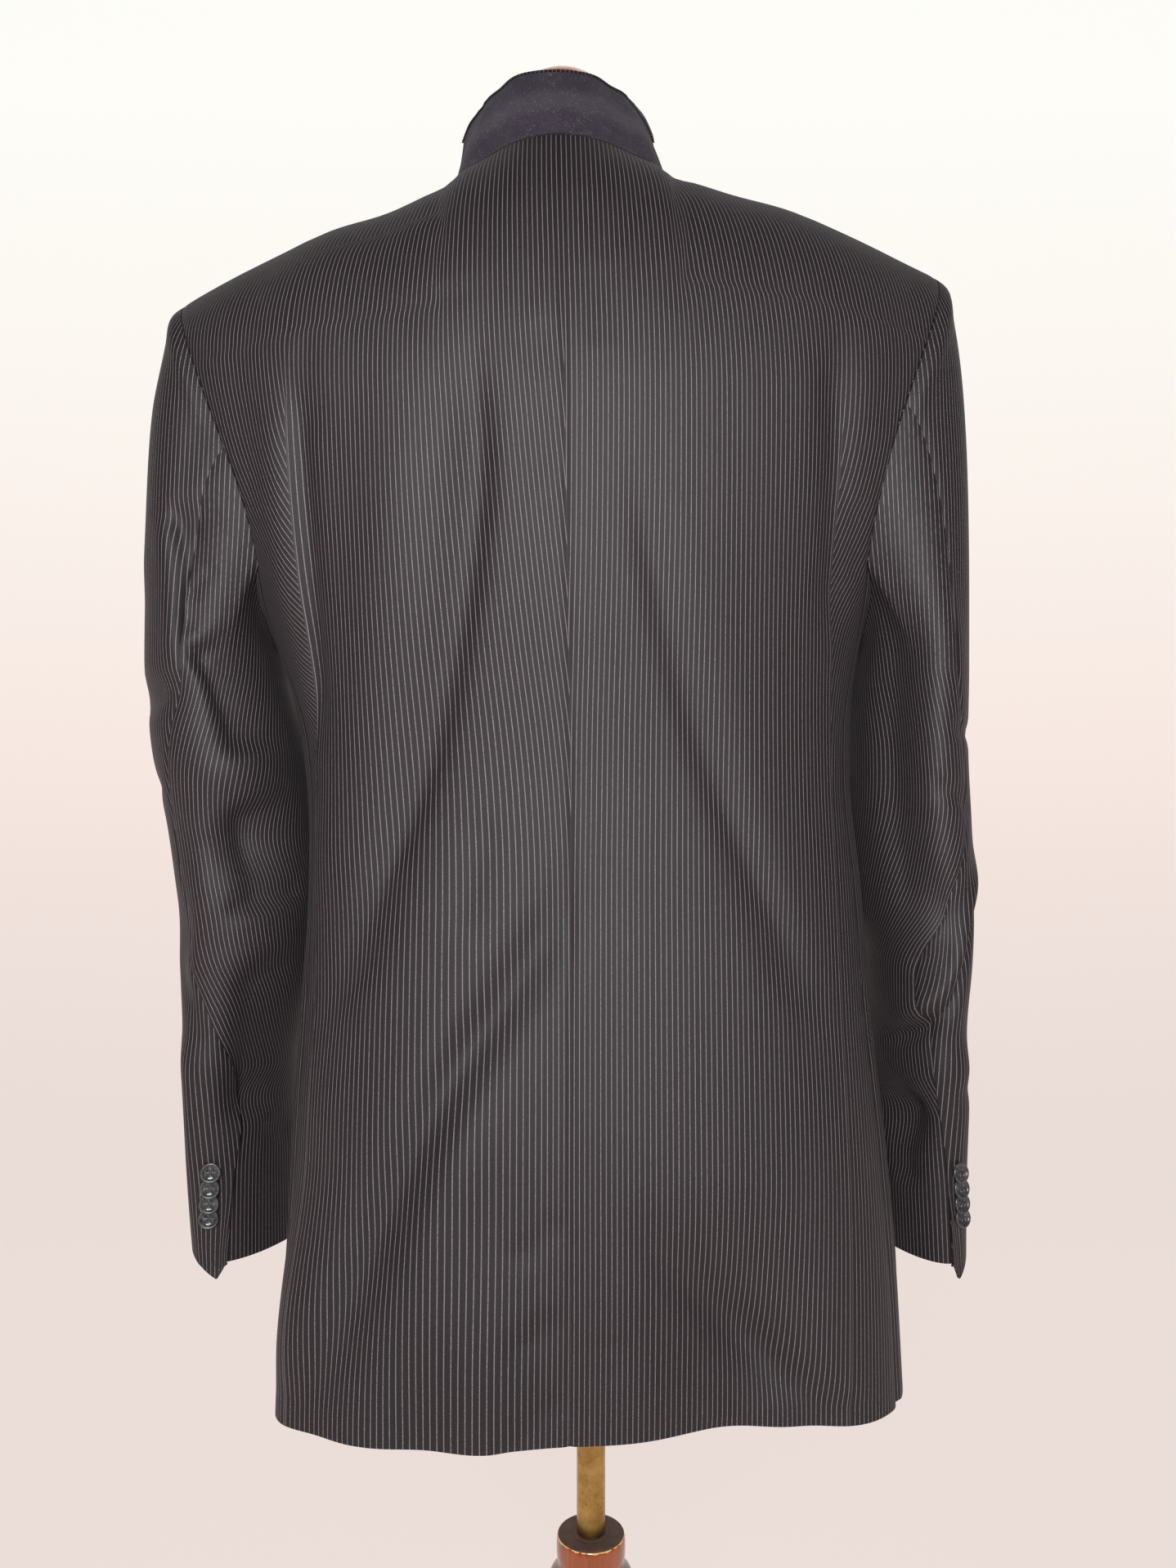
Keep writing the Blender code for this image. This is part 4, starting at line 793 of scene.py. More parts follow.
def ends_finer(length, step, first=(0.0, 0.0007, 0.0016, 0.0028, 0.0046, 0.0075)):
    """Places from 0 to 1 along a length, closer together towards both ends."""
    start = np.array([d for d in first if d < 0.3 * length])
    middle = np.linspace(start[-1], length - start[-1], max(3, int((length - 2 * start[-1]) / step)))
    return np.concatenate([start[:-1], middle, length - start[::-1][1:]]) / length


def pinstripe(name):
    """Dark worsted with a pale stripe one thread wide, on the piece's own flat lengths."""
    add, finish = blank(name)
    flat = add("ShaderNodeUVMap", {"uv_map": "Flat"}).outputs[0]
    across = add("ShaderNodeSeparateXYZ", Vector=flat).outputs[0]
    wander = calc(add, "MULTIPLY", noise(add, flat, 55.0, 1.0), 0.00010)
    turns = calc(add, "DIVIDE", calc(add, "ADD", across, wander), STRIPE_PITCH)
    off_middle = calc(add, "ABSOLUTE", calc(add, "SUBTRACT", calc(add, "FRACT", turns), 0.5))
    narrow = 0.5 * STRIPE_WIDTH / STRIPE_PITCH
    line = change(add, off_middle, narrow * 0.55, narrow * 1.45, 1.0, 0.0, "SMOOTHSTEP")
    picks = noise(add, flat, 1500.0, 1.0, FLAT_NOISE)
    line = calc(add, "MULTIPLY", line, change(add, picks, 0.30, 0.62, 0.45, 1.0))
    fibres = noise(add, stretched(add, flat, (1.0, 0.16, 1.0)), 2600.0, 3.0, FLAT_NOISE, Roughness=0.7)
    ground = ramp(add, fibres, ((0.30, (0.0060, 0.0040, 0.0050)), (0.70, (0.0160, 0.0118, 0.0138))))
    ground = shaded(add, ground, 0.35, noise(add, flat, 16.0, 4.0, FLAT_NOISE),
                    (0.35, (0.80, 0.80, 0.82)), (0.65, (1.10, 1.08, 1.06)))
    twill = add("ShaderNodeTexWave", {"bands_direction": "DIAGONAL"}, Vector=flat, Scale=620.0,
                Distortion=0.6, Detail=1.0).outputs["Fac"]
    return finish({
        "Base Color": mixed(add, line, ground, (0.205, 0.174, 0.186, 1.0)),
        "Roughness": 0.64,
        "Specular IOR Level": 0.36,
        "Sheen Weight": 0.015,
        "Sheen Roughness": 0.45,
        "Sheen Tint": (0.80, 0.72, 0.76, 1.0),
    }, calc(add, "ADD", twill, fibres), 0.16, 0.0003)


def cloth_wall(name, outer, inner, flat, material):
    """A cloth wall between two grids of points, with each point's place on the flat cloth."""
    rows, cols = outer.shape[:2]
    count = rows * cols
    vertices = np.concatenate([outer.reshape(-1, 3), inner.reshape(-1, 3)])
    index = np.arange(count).reshape(rows, cols)
    a, b, c, d = index[:-1, :-1], index[:-1, 1:], index[1:, 1:], index[1:, :-1]
    front = np.stack([a, b, c, d], axis=-1).reshape(-1, 4)
    rim = np.concatenate([index[0, :], index[1:, -1], index[-1, -2::-1], index[-2:0:-1, 0]])
    onward = np.roll(rim, -1)
    edge = np.stack([onward, rim, rim + count, onward + count], axis=-1)
    normal = np.cross(outer[rows // 2, cols // 2 + 1] - outer[rows // 2, cols // 2],
                      outer[rows // 2 + 1, cols // 2] - outer[rows // 2, cols // 2])
    if np.dot(normal, (outer - inner)[rows // 2, cols // 2]) < 0:
        front, edge = front[:, ::-1], edge[:, ::-1]
    faces = np.concatenate([front, front[:, ::-1] + count, edge])
    wall = surface(name, vertices.tolist(), faces.tolist(), [material], sharp_from=58)
    layer = wall.data.uv_layers.new(name="Flat")
    corner = np.empty(len(wall.data.loops), np.int64)
    wall.data.loops.foreach_get("vertex_index", corner)
    both = np.concatenate([flat.reshape(-1, 2), flat.reshape(-1, 2)])
    layer.data.foreach_set("uv", both[corner].astype(np.float32).ravel())
    return wall


def grid_facing(grid, like):
    """Normals of a grid of points, on the side that like points to."""
    facing = unit(np.cross(np.gradient(grid, axis=1), np.gradient(grid, axis=0)))
    return facing * np.sign(np.sum(facing * like, axis=-1, keepdims=True))


def cloth_piece(node, outer, inner, flat, material=None, name=None):
    """Makes the wall and puts it in its solid's place."""
    thing = cloth_wall(name or node + "_cloth", outer, inner, flat, material or suiting)
    stands_for(thing, node)


def torso_rows():
    """Rows from the hem up to the shoulder line, closer together near both."""
    low = HEM_HEIGHT + ends_finer(CHEST_HEIGHT - HEM_HEIGHT, THREAD) * (CHEST_HEIGHT - HEM_HEIGHT)
    high = CHEST_HEIGHT + np.linspace(0.0, 1.0 - SHOULDER_SEAM_BACK, 66)
    return np.unique(np.concatenate([low[low < CHEST_HEIGHT - 0.006], high, high[-1] - [0.004, 0.009]]))


def flat_height(level):
    """Length of cloth up from the hem at each level."""
    return np.minimum(level, CHEST_HEIGHT) + SHOULDER_CLOTH * np.maximum(level - CHEST_HEIGHT, 0.0)


suiting = pinstripe("pinstripe_suiting")


def folded(side, level, where):
    """Points of the torso, their outward normals and how far the largest folds push them out."""
    points, facing = on_torso(side, level, where), torso_facing(side, level, where)
    facing[where < SEAM_GAP, 0] = 0.0
    facing = unit(facing)
    return points, facing, fold_height(points) * seen_behind(facing)


def creased_behind(points, facing):
    """How far the finer creases of the back push the cloth out."""
    return crease_height(BACK_CREASES, points[..., 0], points[..., 2]) * seen_behind(facing)


for side in (LEFT, RIGHT):
    name = "back_" + SIDE_NAME[side]
    levels = torso_rows()
    back_edge = edges_at(side, levels)[0]
    across = ends_finer(BACK_WIDTH, THREAD)
    # Two columns of points stand close together at the pleat, so that the stripes turn at one line.
    turn_at = int(np.searchsorted(across, 0.86))
    pleat = np.minimum(ARM_PLEAT[side], 0.92 * back_edge)
    half = PLEAT_EDGE + PLEAT_SPREAD * ease((flat_height(levels) - PLEAT_TOP) / 0.020)
    where = np.stack([np.interp(across, [0.0, across[turn_at], across[turn_at + 1], 1.0],
                                [SEAM_GAP / 2, p - h, p + h, e - SEAM_GAP / 2])
                      for p, h, e in zip(pleat, half, back_edge)])
    level = levels[:, None] + 0.0 * where
    points, facing, push = folded(side, level, where)
    push = push + creased_behind(points, facing)
    push = push + seam_dip(where) + seam_dip(back_edge[:, None] - where, 0.0006)
    outer = points + facing * push[..., None]
    facing = grid_facing(outer, facing)
    facing[:, 0, 0] = 0.0
    facing = unit(facing)
    flat = np.stack([stripe_place(side, where, points), flat_height(level)], axis=-1)
    cloth_piece(name, outer, outer - facing * CLOTH, flat)

# Side panels
# One panel under each arm, cut from the same cloth and seamed to the back and the front. Below
# the top of the side vent its back edge runs on as an underlap behind the back's edge.
UNDERLAP = 0.030
ARMPIT_DIP = 0.040
PANEL_WIDTH = 0.150

# Creases by distance round from the back's seam and height.
SIDE_CREASES = {
    LEFT: (
        Crease(((0.035, 1.200), (0.045, 1.130), (0.060, 1.060)), 0.008, 0.010, -0.0022),
        Crease(((0.075, 1.190), (0.078, 1.120)), 0.007, 0.009, -0.0016),
        Crease(((0.055, 0.930), (0.062, 0.840), (0.070, 0.750)), 0.014, 0.012, 0.0020),
    ),
    RIGHT: (
        Crease(((0.028, 1.190), (0.036, 1.120)), 0.007, 0.009, -0.0020),
        Crease(((0.066, 1.200), (0.062, 1.110), (0.070, 1.030)), 0.009, 0.008, -0.0018),
        Crease(((0.050, 0.900), (0.048, 0.800), (0.055, 0.740)), 0.012, 0.014, 0.0022),
    ),
}


def side_top(across):
    """The under arm edge of the side panel dips between the two side seams."""
    return SEAM_TOP - ARMPIT_DIP * np.sin(np.pi * np.clip(across, 0.0, 1.0)) ** 0.8


def side_outer(side, across, level):
    """Points on the outside of a side panel, before its own creases."""
    back_edge, front_edge, _, _ = edges_at(side, level)
    lap = UNDERLAP * ease((VENT_TOP - level) / 0.030)
    start, end = back_edge + SEAM_GAP / 2 - lap, front_edge - SEAM_GAP / 2
    where = start + across * (end - start)
    points, facing, push = folded(side, level, where)
    past = where - back_edge
    sunk = ease((0.990 - level) / 0.020)
    push = push - (CLOTH + 0.0020) * sunk * (1.0 - ease((past - 0.001) / 0.012))
    return points, facing, push, past, end - where


for side in (LEFT, RIGHT):
    rows = ends_finer(SEAM_TOP - HEM_HEIGHT, THREAD)[:, None] * (SEAM_TOP - HEM_HEIGHT)
    across = ends_finer(PANEL_WIDTH, THREAD)[None, :]
    level = HEM_HEIGHT + rows * (side_top(across) - HEM_HEIGHT) / (SEAM_TOP - HEM_HEIGHT)
    points, facing, push, past, left_over = side_outer(side, across + 0.0 * level, level)
    push = push + creased_behind(points, facing)
    inland = ease(np.minimum(past, left_over) / 0.014)
    push = push + crease_height(SIDE_CREASES[side], past, level) * inland
    sewn = ease((level - VENT_TOP) / 0.02)
    push = push + seam_dip(np.abs(past), 0.0006) * sewn + seam_dip(left_over, 0.0006)
    outer = points + facing * push[..., None]
    facing = grid_facing(outer, facing)
    flat = np.stack([past - 0.060, flat_height(level)], axis=-1)
    cloth_piece("side_" + SIDE_NAME[side], outer, outer - facing * CLOTH, flat)

# Fronts
# The left front laps over the right and buttons there. Each is one layer of the cloth, rounded
# at the hem and cut along the lapel's roll line, where the lapel turns back.
LAP_STEP = 0.0034
FRONT_WIDTH = 0.230

FRONT_CREASES = (
    Crease(((0.012, 1.082), (0.060, 1.120), (0.105, 1.165)), 0.007, 0.010, -0.0022),
    Crease(((-0.030, 1.078), (-0.080, 1.112), (-0.120, 1.170)), 0.008, 0.010, -0.0026),
    Crease(((0.015, 1.060), (0.080, 1.030), (0.130, 0.985)), 0.008, 0.008, -0.0018),
    Crease(((-0.035, 1.058), (-0.095, 1.020), (-0.140, 0.960)), 0.007, 0.011, -0.0022),
    Crease(((-0.150, 1.300), (-0.135, 1.230), (-0.140, 1.150)), 0.010, 0.012, 0.0022),
    Crease(((0.165, 1.310), (0.150, 1.240), (0.150, 1.170)), 0.010, 0.010, 0.0020),
    Crease(((0.120, 1.400), (0.135, 1.330)), 0.012, 0.014, -0.0016),
    Crease(((-0.110, 1.400), (-0.130, 1.340)), 0.012, 0.012, -0.0014),
    Crease(((0.090, 0.870), (0.095, 0.800), (0.098, 0.735)), 0.016, 0.018, 0.0024),
    Crease(((-0.100, 0.860), (-0.112, 0.790), (-0.118, 0.735)), 0.015, 0.018, 0.0022),
)


def front_outer(side, across, level, creased=True):
    """Points on the outside of a front, their normals and their places on the flat cloth."""
    _, front_edge, inner, middle = edges_at(side, level)
    start = front_edge + SEAM_GAP / 2
    where = start + across * (inner - start)
    points, facing, push = folded(side, level, where)
    if side == LEFT:
        out = -(points[..., 0] - read(TORSO, "seam", points[..., 2]))
        push = push + LAP_STEP * (1.0 - ease((out - 0.022) / 0.030))
    if creased:
        ahead = seen_behind(-facing) * ease((inner - where) / 0.012)
        push = push + crease_height(FRONT_CREASES, points[..., 0], points[..., 2]) * ahead
        push = push + seam_dip(where - front_edge, 0.0006)
    flat = np.stack([middle - where, flat_height(level)], axis=-1)
    return points + facing * push[..., None], facing, flat


for side in (LEFT, RIGHT):
    across, level = np.meshgrid(ends_finer(FRONT_WIDTH, THREAD), torso_rows())
    outer, facing, flat = front_outer(side, across, level)
    facing = grid_facing(outer, facing)
    cloth_piece("front_" + SIDE_NAME[side], outer, outer - facing * CLOTH, flat)

# Pocket flaps
# A plain flap of the same cloth over each hip pocket's mouth, sewn on along its top edge, with
# its stripes running on from the front's.
FLAP_ROWS = (0.930, 0.880)
FLAP_ENDS = (0.10, 0.78)
FLAP_SIZE = (0.140, 0.050)
FLAP_SLANT = 0.012
FLAP_CORNER = 0.012


def on_flap(across, share):
    """Shares across and down a flap as a share across the front and a level."""
    across = FLAP_ENDS[0] + (FLAP_ENDS[1] - FLAP_ENDS[0]) * across
    level = FLAP_ROWS[0] + (FLAP_ROWS[1] - FLAP_ROWS[0]) * share
    return across, level - FLAP_SLANT * (1.0 - across)


for side in (LEFT, RIGHT):
    across, share = np.meshgrid(*(ends_finer(length, THREAD) for length in FLAP_SIZE))
    across, level = on_flap(across, share)
    ends = np.minimum(across - FLAP_ENDS[0], FLAP_ENDS[1] - across) * 0.2
    level = level + np.clip(1.0 - ends / FLAP_CORNER, 0.0, 1.0) ** 2 * 0.006 * ease(share)
    outer, facing, flat = front_outer(side, across, level)
    facing = grid_facing(outer, facing)
    low = outer + facing * SURFACE_LIFT
    cloth_piece("pocket_flap_" + SIDE_NAME[side], low + facing * CLOTH, low, flat)

# Sleeves
# Two-piece sleeves of the same cloth, set into the armholes and hanging empty. The top sleeve
# laps over the under sleeve's vent at the cuff, where four buttons are sewn on.
CUFF_HEIGHT = 0.786
ARM_LENGTH = 0.384
CUFF_VENT_TOP = 0.915
CUFF_UNDERLAP = 26.0
HIND_LEVEL = {LEFT: 1.305, RIGHT: 1.330}
FRONT_LEVEL = 1.270

# Each sleeve below the armpit: its middle, its half thickness and half depth, the turn of its
# depth towards the body's front, and around it, in degrees from the outer side backwards, the
# top sleeve's hind edge (lap) and the seam inside the arm (front).
Sleeve = namedtuple("Sleeve", "z x y thin deep turn lap front")
SLEEVES = {
    LEFT: (
        Sleeve(0.786, -0.2321, 0.034, 0.0240, 0.055, 22.0, 118.0, -112.0),
        Sleeve(0.845, -0.2340, 0.024, 0.0260, 0.057, 19.0, 128.0, -112.0),
        Sleeve(0.910, -0.2359, 0.014, 0.0280, 0.059, 15.0, 136.0, -112.0),
        Sleeve(0.950, -0.2315, 0.008, 0.0334, 0.061, 13.0, 102.0, -112.0),
        Sleeve(0.985, -0.2295, 0.004, 0.0406, 0.062, 11.0, 75.0, -112.0),
        Sleeve(1.025, -0.2278, 0.001, 0.0421, 0.064, 9.0, 63.0, -112.0),
        Sleeve(1.070, -0.2306, -0.001, 0.0444, 0.067, 6.0, 56.0, -112.0),
        Sleeve(1.120, -0.2383, -0.002, 0.0470, 0.071, 3.0, 67.0, -112.0),
        Sleeve(1.170, -0.2480, 0.000, 0.0430, 0.075, 0.0, 88.0, -112.0),
    ),
    RIGHT: (
        Sleeve(0.786, 0.2216, 0.034, 0.0220, 0.054, 16.0, 92.0, -112.0),
        Sleeve(0.845, 0.2184, 0.024, 0.0240, 0.057, 13.0, 96.0, -112.0),
        Sleeve(0.910, 0.2178, 0.014, 0.0255, 0.060, 10.0, 110.0, -112.0),
        Sleeve(0.950, 0.2164, 0.008, 0.0265, 0.062, 9.0, 119.0, -112.0),
        Sleeve(0.985, 0.2167, 0.004, 0.0290, 0.064, 8.0, 131.0, -112.0),
        Sleeve(1.025, 0.2157, 0.001, 0.0315, 0.067, 6.0, 92.0, -112.0),
        Sleeve(1.070, 0.2121, -0.001, 0.0338, 0.070, 4.0, 62.0, -112.0),
        Sleeve(1.120, 0.2104, -0.002, 0.0330, 0.074, 2.0, 58.0, -112.0),
        Sleeve(1.170, 0.2124, 0.000, 0.0325, 0.078, 0.0, 70.0, -112.0),
    ),
}

# The top sleeve's hem at the cuff: shares of the way round from the vent's edge, and how far it
# stands above or below the cuff's height there.
CUFF_HEM = ((0.0, 0.045, 0.21, 0.5, 1.0), (0.0005, -0.0095, 0.0075, 0.0040, 0.0))

# The sleeves' largest folds: around in degrees from the outer side, height, half sizes and how
# far the cloth stands out.
Dent = namedtuple("Dent", "side around z wide tall out")
DENTS = (
    Dent(LEFT, 64.0, 1.155, 36.0, 0.012, -0.0045),
    Dent(LEFT, 120.0, 1.060, 40.0, 0.022, -0.010),
    Dent(LEFT, 115.0, 1.110, 35.0, 0.018, 0.006),
    Dent(LEFT, 60.0, 1.000, 30.0, 0.030, -0.005),
    Dent(RIGHT, 100.0, 1.020, 30.0, 0.020, -0.007),
    Dent(RIGHT, 130.0, 0.960, 35.0, 0.014, 0.005),
    Dent(RIGHT, 150.0, 0.880, 30.0, 0.020, -0.006),
)

# Finer creases of the sleeves, in degrees from the outer side backwards and height.
DEGREE = 0.00096
SLEEVE_CREASES = {
    LEFT: (
        Crease(((74.0, 1.272), (86.0, 1.240), (92.0, 1.190)), 0.005, 0.016, -0.0062),
        Crease(((66.0, 1.262), (76.0, 1.225), (82.0, 1.170)), 0.010, 0.006, 0.0026),
        Crease(((98.0, 1.186), (112.0, 1.165), (122.0, 1.117)), 0.007, 0.024, -0.0085),
        Crease(((118.0, 1.088), (127.0, 1.060), (134.0, 1.020)), 0.014, 0.026, -0.0080),
        Crease(((134.0, 0.990), (146.0, 0.935), (148.0, 0.880)), 0.020, 0.034, -0.0095),
        Crease(((22.0, 1.153), (40.0, 1.152), (66.0, 1.157)), 0.007, 0.005, -0.0022),
        Crease(((12.0, 1.100), (26.0, 1.096), (48.0, 1.104)), 0.006, 0.009, -0.0022),
        Crease(((105.0, 1.232), (88.0, 1.214)), 0.005, 0.006, -0.0016),
        Crease(((112.0, 1.180), (90.0, 1.178)), 0.005, 0.006, -0.0018),
        Crease(((104.0, 1.020), (136.0, 1.024), (170.0, 1.030)), 0.005, 0.008, -0.0034),
        Crease(((88.0, 1.090), (84.0, 1.030), (78.0, 0.970)), 0.014, 0.012, 0.0030),
        Crease(((160.0, 0.872), (190.0, 0.862)), 0.006, 0.007, -0.0016),
        Crease(((30.0, 1.360), (40.0, 1.290), (36.0, 1.220)), 0.014, 0.016, 0.0016),
        Crease(((-70.0, 1.090), (-35.0, 1.075), (-5.0, 1.082)), 0.007, 0.010, -0.0024),
        Crease(((-90.0, 1.030), (-55.0, 1.020)), 0.008, 0.008, -0.0020),
        Crease(((40.0, 0.985), (75.0, 0.960), (100.0, 0.930)), 0.008, 0.010, -0.0018),
        Crease(((-60.0, 1.330), (-48.0, 1.260)), 0.014, 0.014, 0.0018),
    ),
    RIGHT: (
        Crease(((30.0, 1.058), (55.0, 1.029), (94.0, 0.977), (165.0, 0.943)), 0.009, 0.009, 0.0036),
        Crease(((22.0, 1.056), (55.0, 1.015), (94.0, 0.963), (165.0, 0.929)), 0.006, 0.006, -0.0064),
        Crease(((132.0, 1.215), (142.0, 1.150), (140.0, 1.080), (134.0, 1.010)), 0.034, 0.012, -0.0085),
        Crease(((5.0, 1.136), (40.0, 1.131), (80.0, 1.134)), 0.005, 0.006, -0.0024),
        Crease(((46.0, 1.082), (74.0, 1.092), (102.0, 1.098)), 0.005, 0.007, -0.0028),
        Crease(((90.0, 0.996), (140.0, 0.988)), 0.006, 0.008, -0.0026),
        Crease(((134.0, 0.900), (146.0, 0.868), (146.0, 0.836)), 0.014, 0.020, -0.0060),
        Crease(((60.0, 1.350), (66.0, 1.270), (60.0, 1.190)), 0.010, 0.014, -0.0016),
        Crease(((-70.0, 1.070), (-30.0, 1.052), (0.0, 1.060)), 0.008, 0.009, -0.0020),
        Crease(((-85.0, 1.010), (-50.0, 0.998)), 0.007, 0.009, -0.0020),
        Crease(((186.0, 1.190), (196.0, 1.120), (196.0, 1.060), (188.0, 1.000)), 0.026, 0.026, 0.0062),
        Crease(((20.0, 0.930), (60.0, 0.905), (90.0, 0.900)), 0.008, 0.009, -0.0014),
        Crease(((-55.0, 1.340), (-42.0, 1.260)), 0.013, 0.014, 0.0018),
    ),
}
LOOP_LEVELS = np.array([1.235, 1.270, 1.305, 1.330, 1.490, 1.650, 1.800, 1.940, 2.070, 2.190, 2.280,
                        CHEST_HEIGHT + 1.0 - SHOULDER_SEAM_BACK])
LOOP_ACROSS = np.array([1.0, 0.78, 0.55, 0.32, 0.16, 0.08, 0.0])
FINE = 6


def armhole_loop(side):
    """The armhole seam: up the back edge, down the front edge, round under the arm.

    Every step of the solid's seam is cut into FINE. With each point go the panel's outward
    normal, the direction across the armhole and the steps of the two sleeve seams.
    """
    top = len(LOOP_LEVELS) - 1
    steps = np.arange(top * FINE + 1) / FINE
    level = np.interp(steps, np.arange(top + 1), LOOP_LEVELS)
    back_edge, front_edge, _, _ = edges_at(side, level)
    parts = []
    for where, order in ((back_edge - SEAM_GAP / 2, 1), (front_edge + SEAM_GAP / 2, -1)):
        points, facing, push = folded(side, level, where)
        if order > 0:
            push = push + seam_dip(np.zeros_like(level), 0.0006)
        parts.append([(points + facing * push[:, None])[::order], facing[::order]])
    between = np.linspace(0.0, 1.0, FINE + 1)[1:-1, None]
    gap = [parts[0][k][-1] * (1.0 - between) + parts[1][k][0] * between for k in (0, 1)]
    turn = np.arange(1, (len(LOOP_ACROSS) - 1) * FINE) / FINE
    across = np.interp(turn, np.arange(len(LOOP_ACROSS)), LOOP_ACROSS)
    points, facing, push, _, _ = side_outer(side, across, side_top(across))
    loop = np.concatenate([parts[0][0], gap[0], parts[1][0], points + facing * push[:, None]])
    seat = unit(np.concatenate([parts[0][1], gap[1], parts[1][1], facing]))
    hind = int(np.argmin(np.abs(LOOP_LEVELS - HIND_LEVEL[side]))) * FINE
    front = (top + 1 + top - int(np.argmin(np.abs(LOOP_LEVELS - FRONT_LEVEL)))) * FINE
    tangent = unit(np.roll(loop, -1, axis=0) - np.roll(loop, 1, axis=0))
    inward = loop.mean(axis=0) - loop
    for axis in (seat, tangent):
        inward = inward - axis * np.sum(inward * axis, axis=1, keepdims=True)
    return loop, seat, unit(inward), hind, front


def sleeve_ring(side, z, around):
    """Points of a sleeve's ring, around in degrees from the outer side backwards."""
    table = SLEEVES[side]
    turn = np.radians(read(table, "turn", z))
    angle = np.radians(around)
    outward = np.stack([side * np.cos(turn), np.sin(turn)], axis=-1)
    backward = np.stack([side * np.sin(turn), -np.cos(turn)], axis=-1)
    spread = outward * (read(table, "thin", z) * np.cos(angle))[..., None]
    spread = spread + backward * (read(table, "deep", z) * np.sin(angle))[..., None]
    x = read(table, "x", z) + spread[..., 0]
    y = read(table, "y", z) + spread[..., 1]
    return np.stack([x, y, z + 0.0 * x], axis=-1)


def dents(side, around, z):
    """How far a sleeve's largest folds push its cloth out."""
    total = np.zeros_like(z)
    for dent in DENTS:
        if dent.side == side:
            off = (around - dent.around + 180.0) % 360.0 - 180.0
            total += dent.out * np.exp(-(off / dent.wide) ** 2 - ((z - dent.z) / dent.tall) ** 2)
    return total


def sleeve_cage(side, part):
    """Outer points of a sleeve part: rows from the cuff up into the armhole."""
    table = SLEEVES[side]
    loop, seat, across_hole, hind, front = armhole_loop(side)
    count = len(loop)
    chosen = np.arange(hind, front + 1) if part == "top" else np.arange(front, hind + count + 1)
    share = np.linspace(0.0, 1.0, len(chosen))
    arm_z = CUFF_HEIGHT + ends_finer(ARM_LENGTH, THREAD)[:, None] * ARM_LENGTH + 0.0 * share
    hind_edge = read(table, "lap", arm_z)
    if part == "top":
        around = hind_edge + (read(table, "front", arm_z) - hind_edge) * share
        hem = np.interp(share, *CUFF_HEM)
        arm_z = arm_z + hem * ease((0.870 - arm_z) / 0.085)
    else:
        front_edge = read(table, "front", arm_z)
        hind_edge = hind_edge - CUFF_UNDERLAP * ease((CUFF_VENT_TOP - arm_z) / 0.030)
        around = front_edge + (hind_edge - 360.0 - front_edge) * share
    arm = sleeve_ring(side, arm_z, around)
    armhole = loop[chosen % count]
    top = arm[-1]
    span = np.linalg.norm(armhole - top, axis=-1, keepdims=True)
    lift = np.clip((armhole[:, 2:3] - SEAM_TOP) / (1.42 - SEAM_TOP), 0.0, 1.0)
    leave = np.concatenate([side * (0.55 + 0.25 * lift), 0.9 * armhole[:, 1:2], -0.85 + 0.35 * lift], axis=1)
    leave = unit(leave) * span * (0.75 - 0.47 * lift)
    arrive = np.array([0.0, 0.0, -1.0]) * span * 0.95
    climb = np.concatenate([np.linspace(0.0, 1.0, 50)[1:-1], [0.985, 0.992, 1.0]])
    g = (1.0 - np.unique(climb))[:, None, None]
    head = (armhole * (2 * g**3 - 3 * g**2 + 1) + leave * (g**3 - 2 * g**2 + g)
            + top * (3 * g**2 - 2 * g**3) + arrive * (g**3 - g**2))
    points = np.concatenate([arm, head])
    rise = np.concatenate([arm_z, points[len(arm_z):, :, 2]])
    full_around = np.concatenate([around, np.repeat(around[-1:], len(head), axis=0)])
    up_head = np.concatenate([np.zeros(len(arm)), 1.0 - g[:, 0, 0]])
    return points, rise, full_around, up_head, seat[chosen % count], across_hole[chosen % count]


def sleeve_flat(side, part, points, around, up_head):
    """Where each point of a sleeve part lies on its flat cloth, across and along the grain."""
    arc = run_along(points, 1)
    if part == "top":
        off = arc - np.array([np.interp(0.0, -a, s) for a, s in zip(around, arc)])[:, None]
    else:
        off = arc - arc[:, -1:]
    # Above the armpit the grain runs on straight up, so a point lies as far across the cloth as
    # the place of the upper arm below it.
    ring_top = SLEEVES[side][-1]
    x, y, z = points[..., 0], points[..., 1], points[..., 2]
    lean_in = 0.009 * np.clip((z - ring_top.z) / 0.23, 0.0, 1.1)
    outward = side * (x - ring_top.x) + lean_in
    angle = np.degrees(np.arctan2(-(y - ring_top.y) / ring_top.deep, outward / ring_top.thin))
    angle = around + (angle - around + 180.0) % 360.0 - 180.0
    full = np.linspace(-420.0, 420.0, 841)
    ring = sleeve_ring(side, np.full_like(full, ring_top.z), full)
    length = run_along(ring)
    zero = 0.0 if part == "top" else float(around[up_head < 1e-6][-1, -1])
    above = np.interp(zero, full, length) - np.interp(angle, full, length)
    jump = off[up_head < 1e-6][-1] - above[up_head < 1e-6][-1]
    above = above + jump[None, :] * (1.0 - ease(up_head / 0.4))[:, None]
    off = np.where(up_head[:, None] > 0.0, above, off)
    along = run_along(points[:, points.shape[1] // 2])
    return np.stack([off, along[:, None] + 0.0 * off], axis=-1)


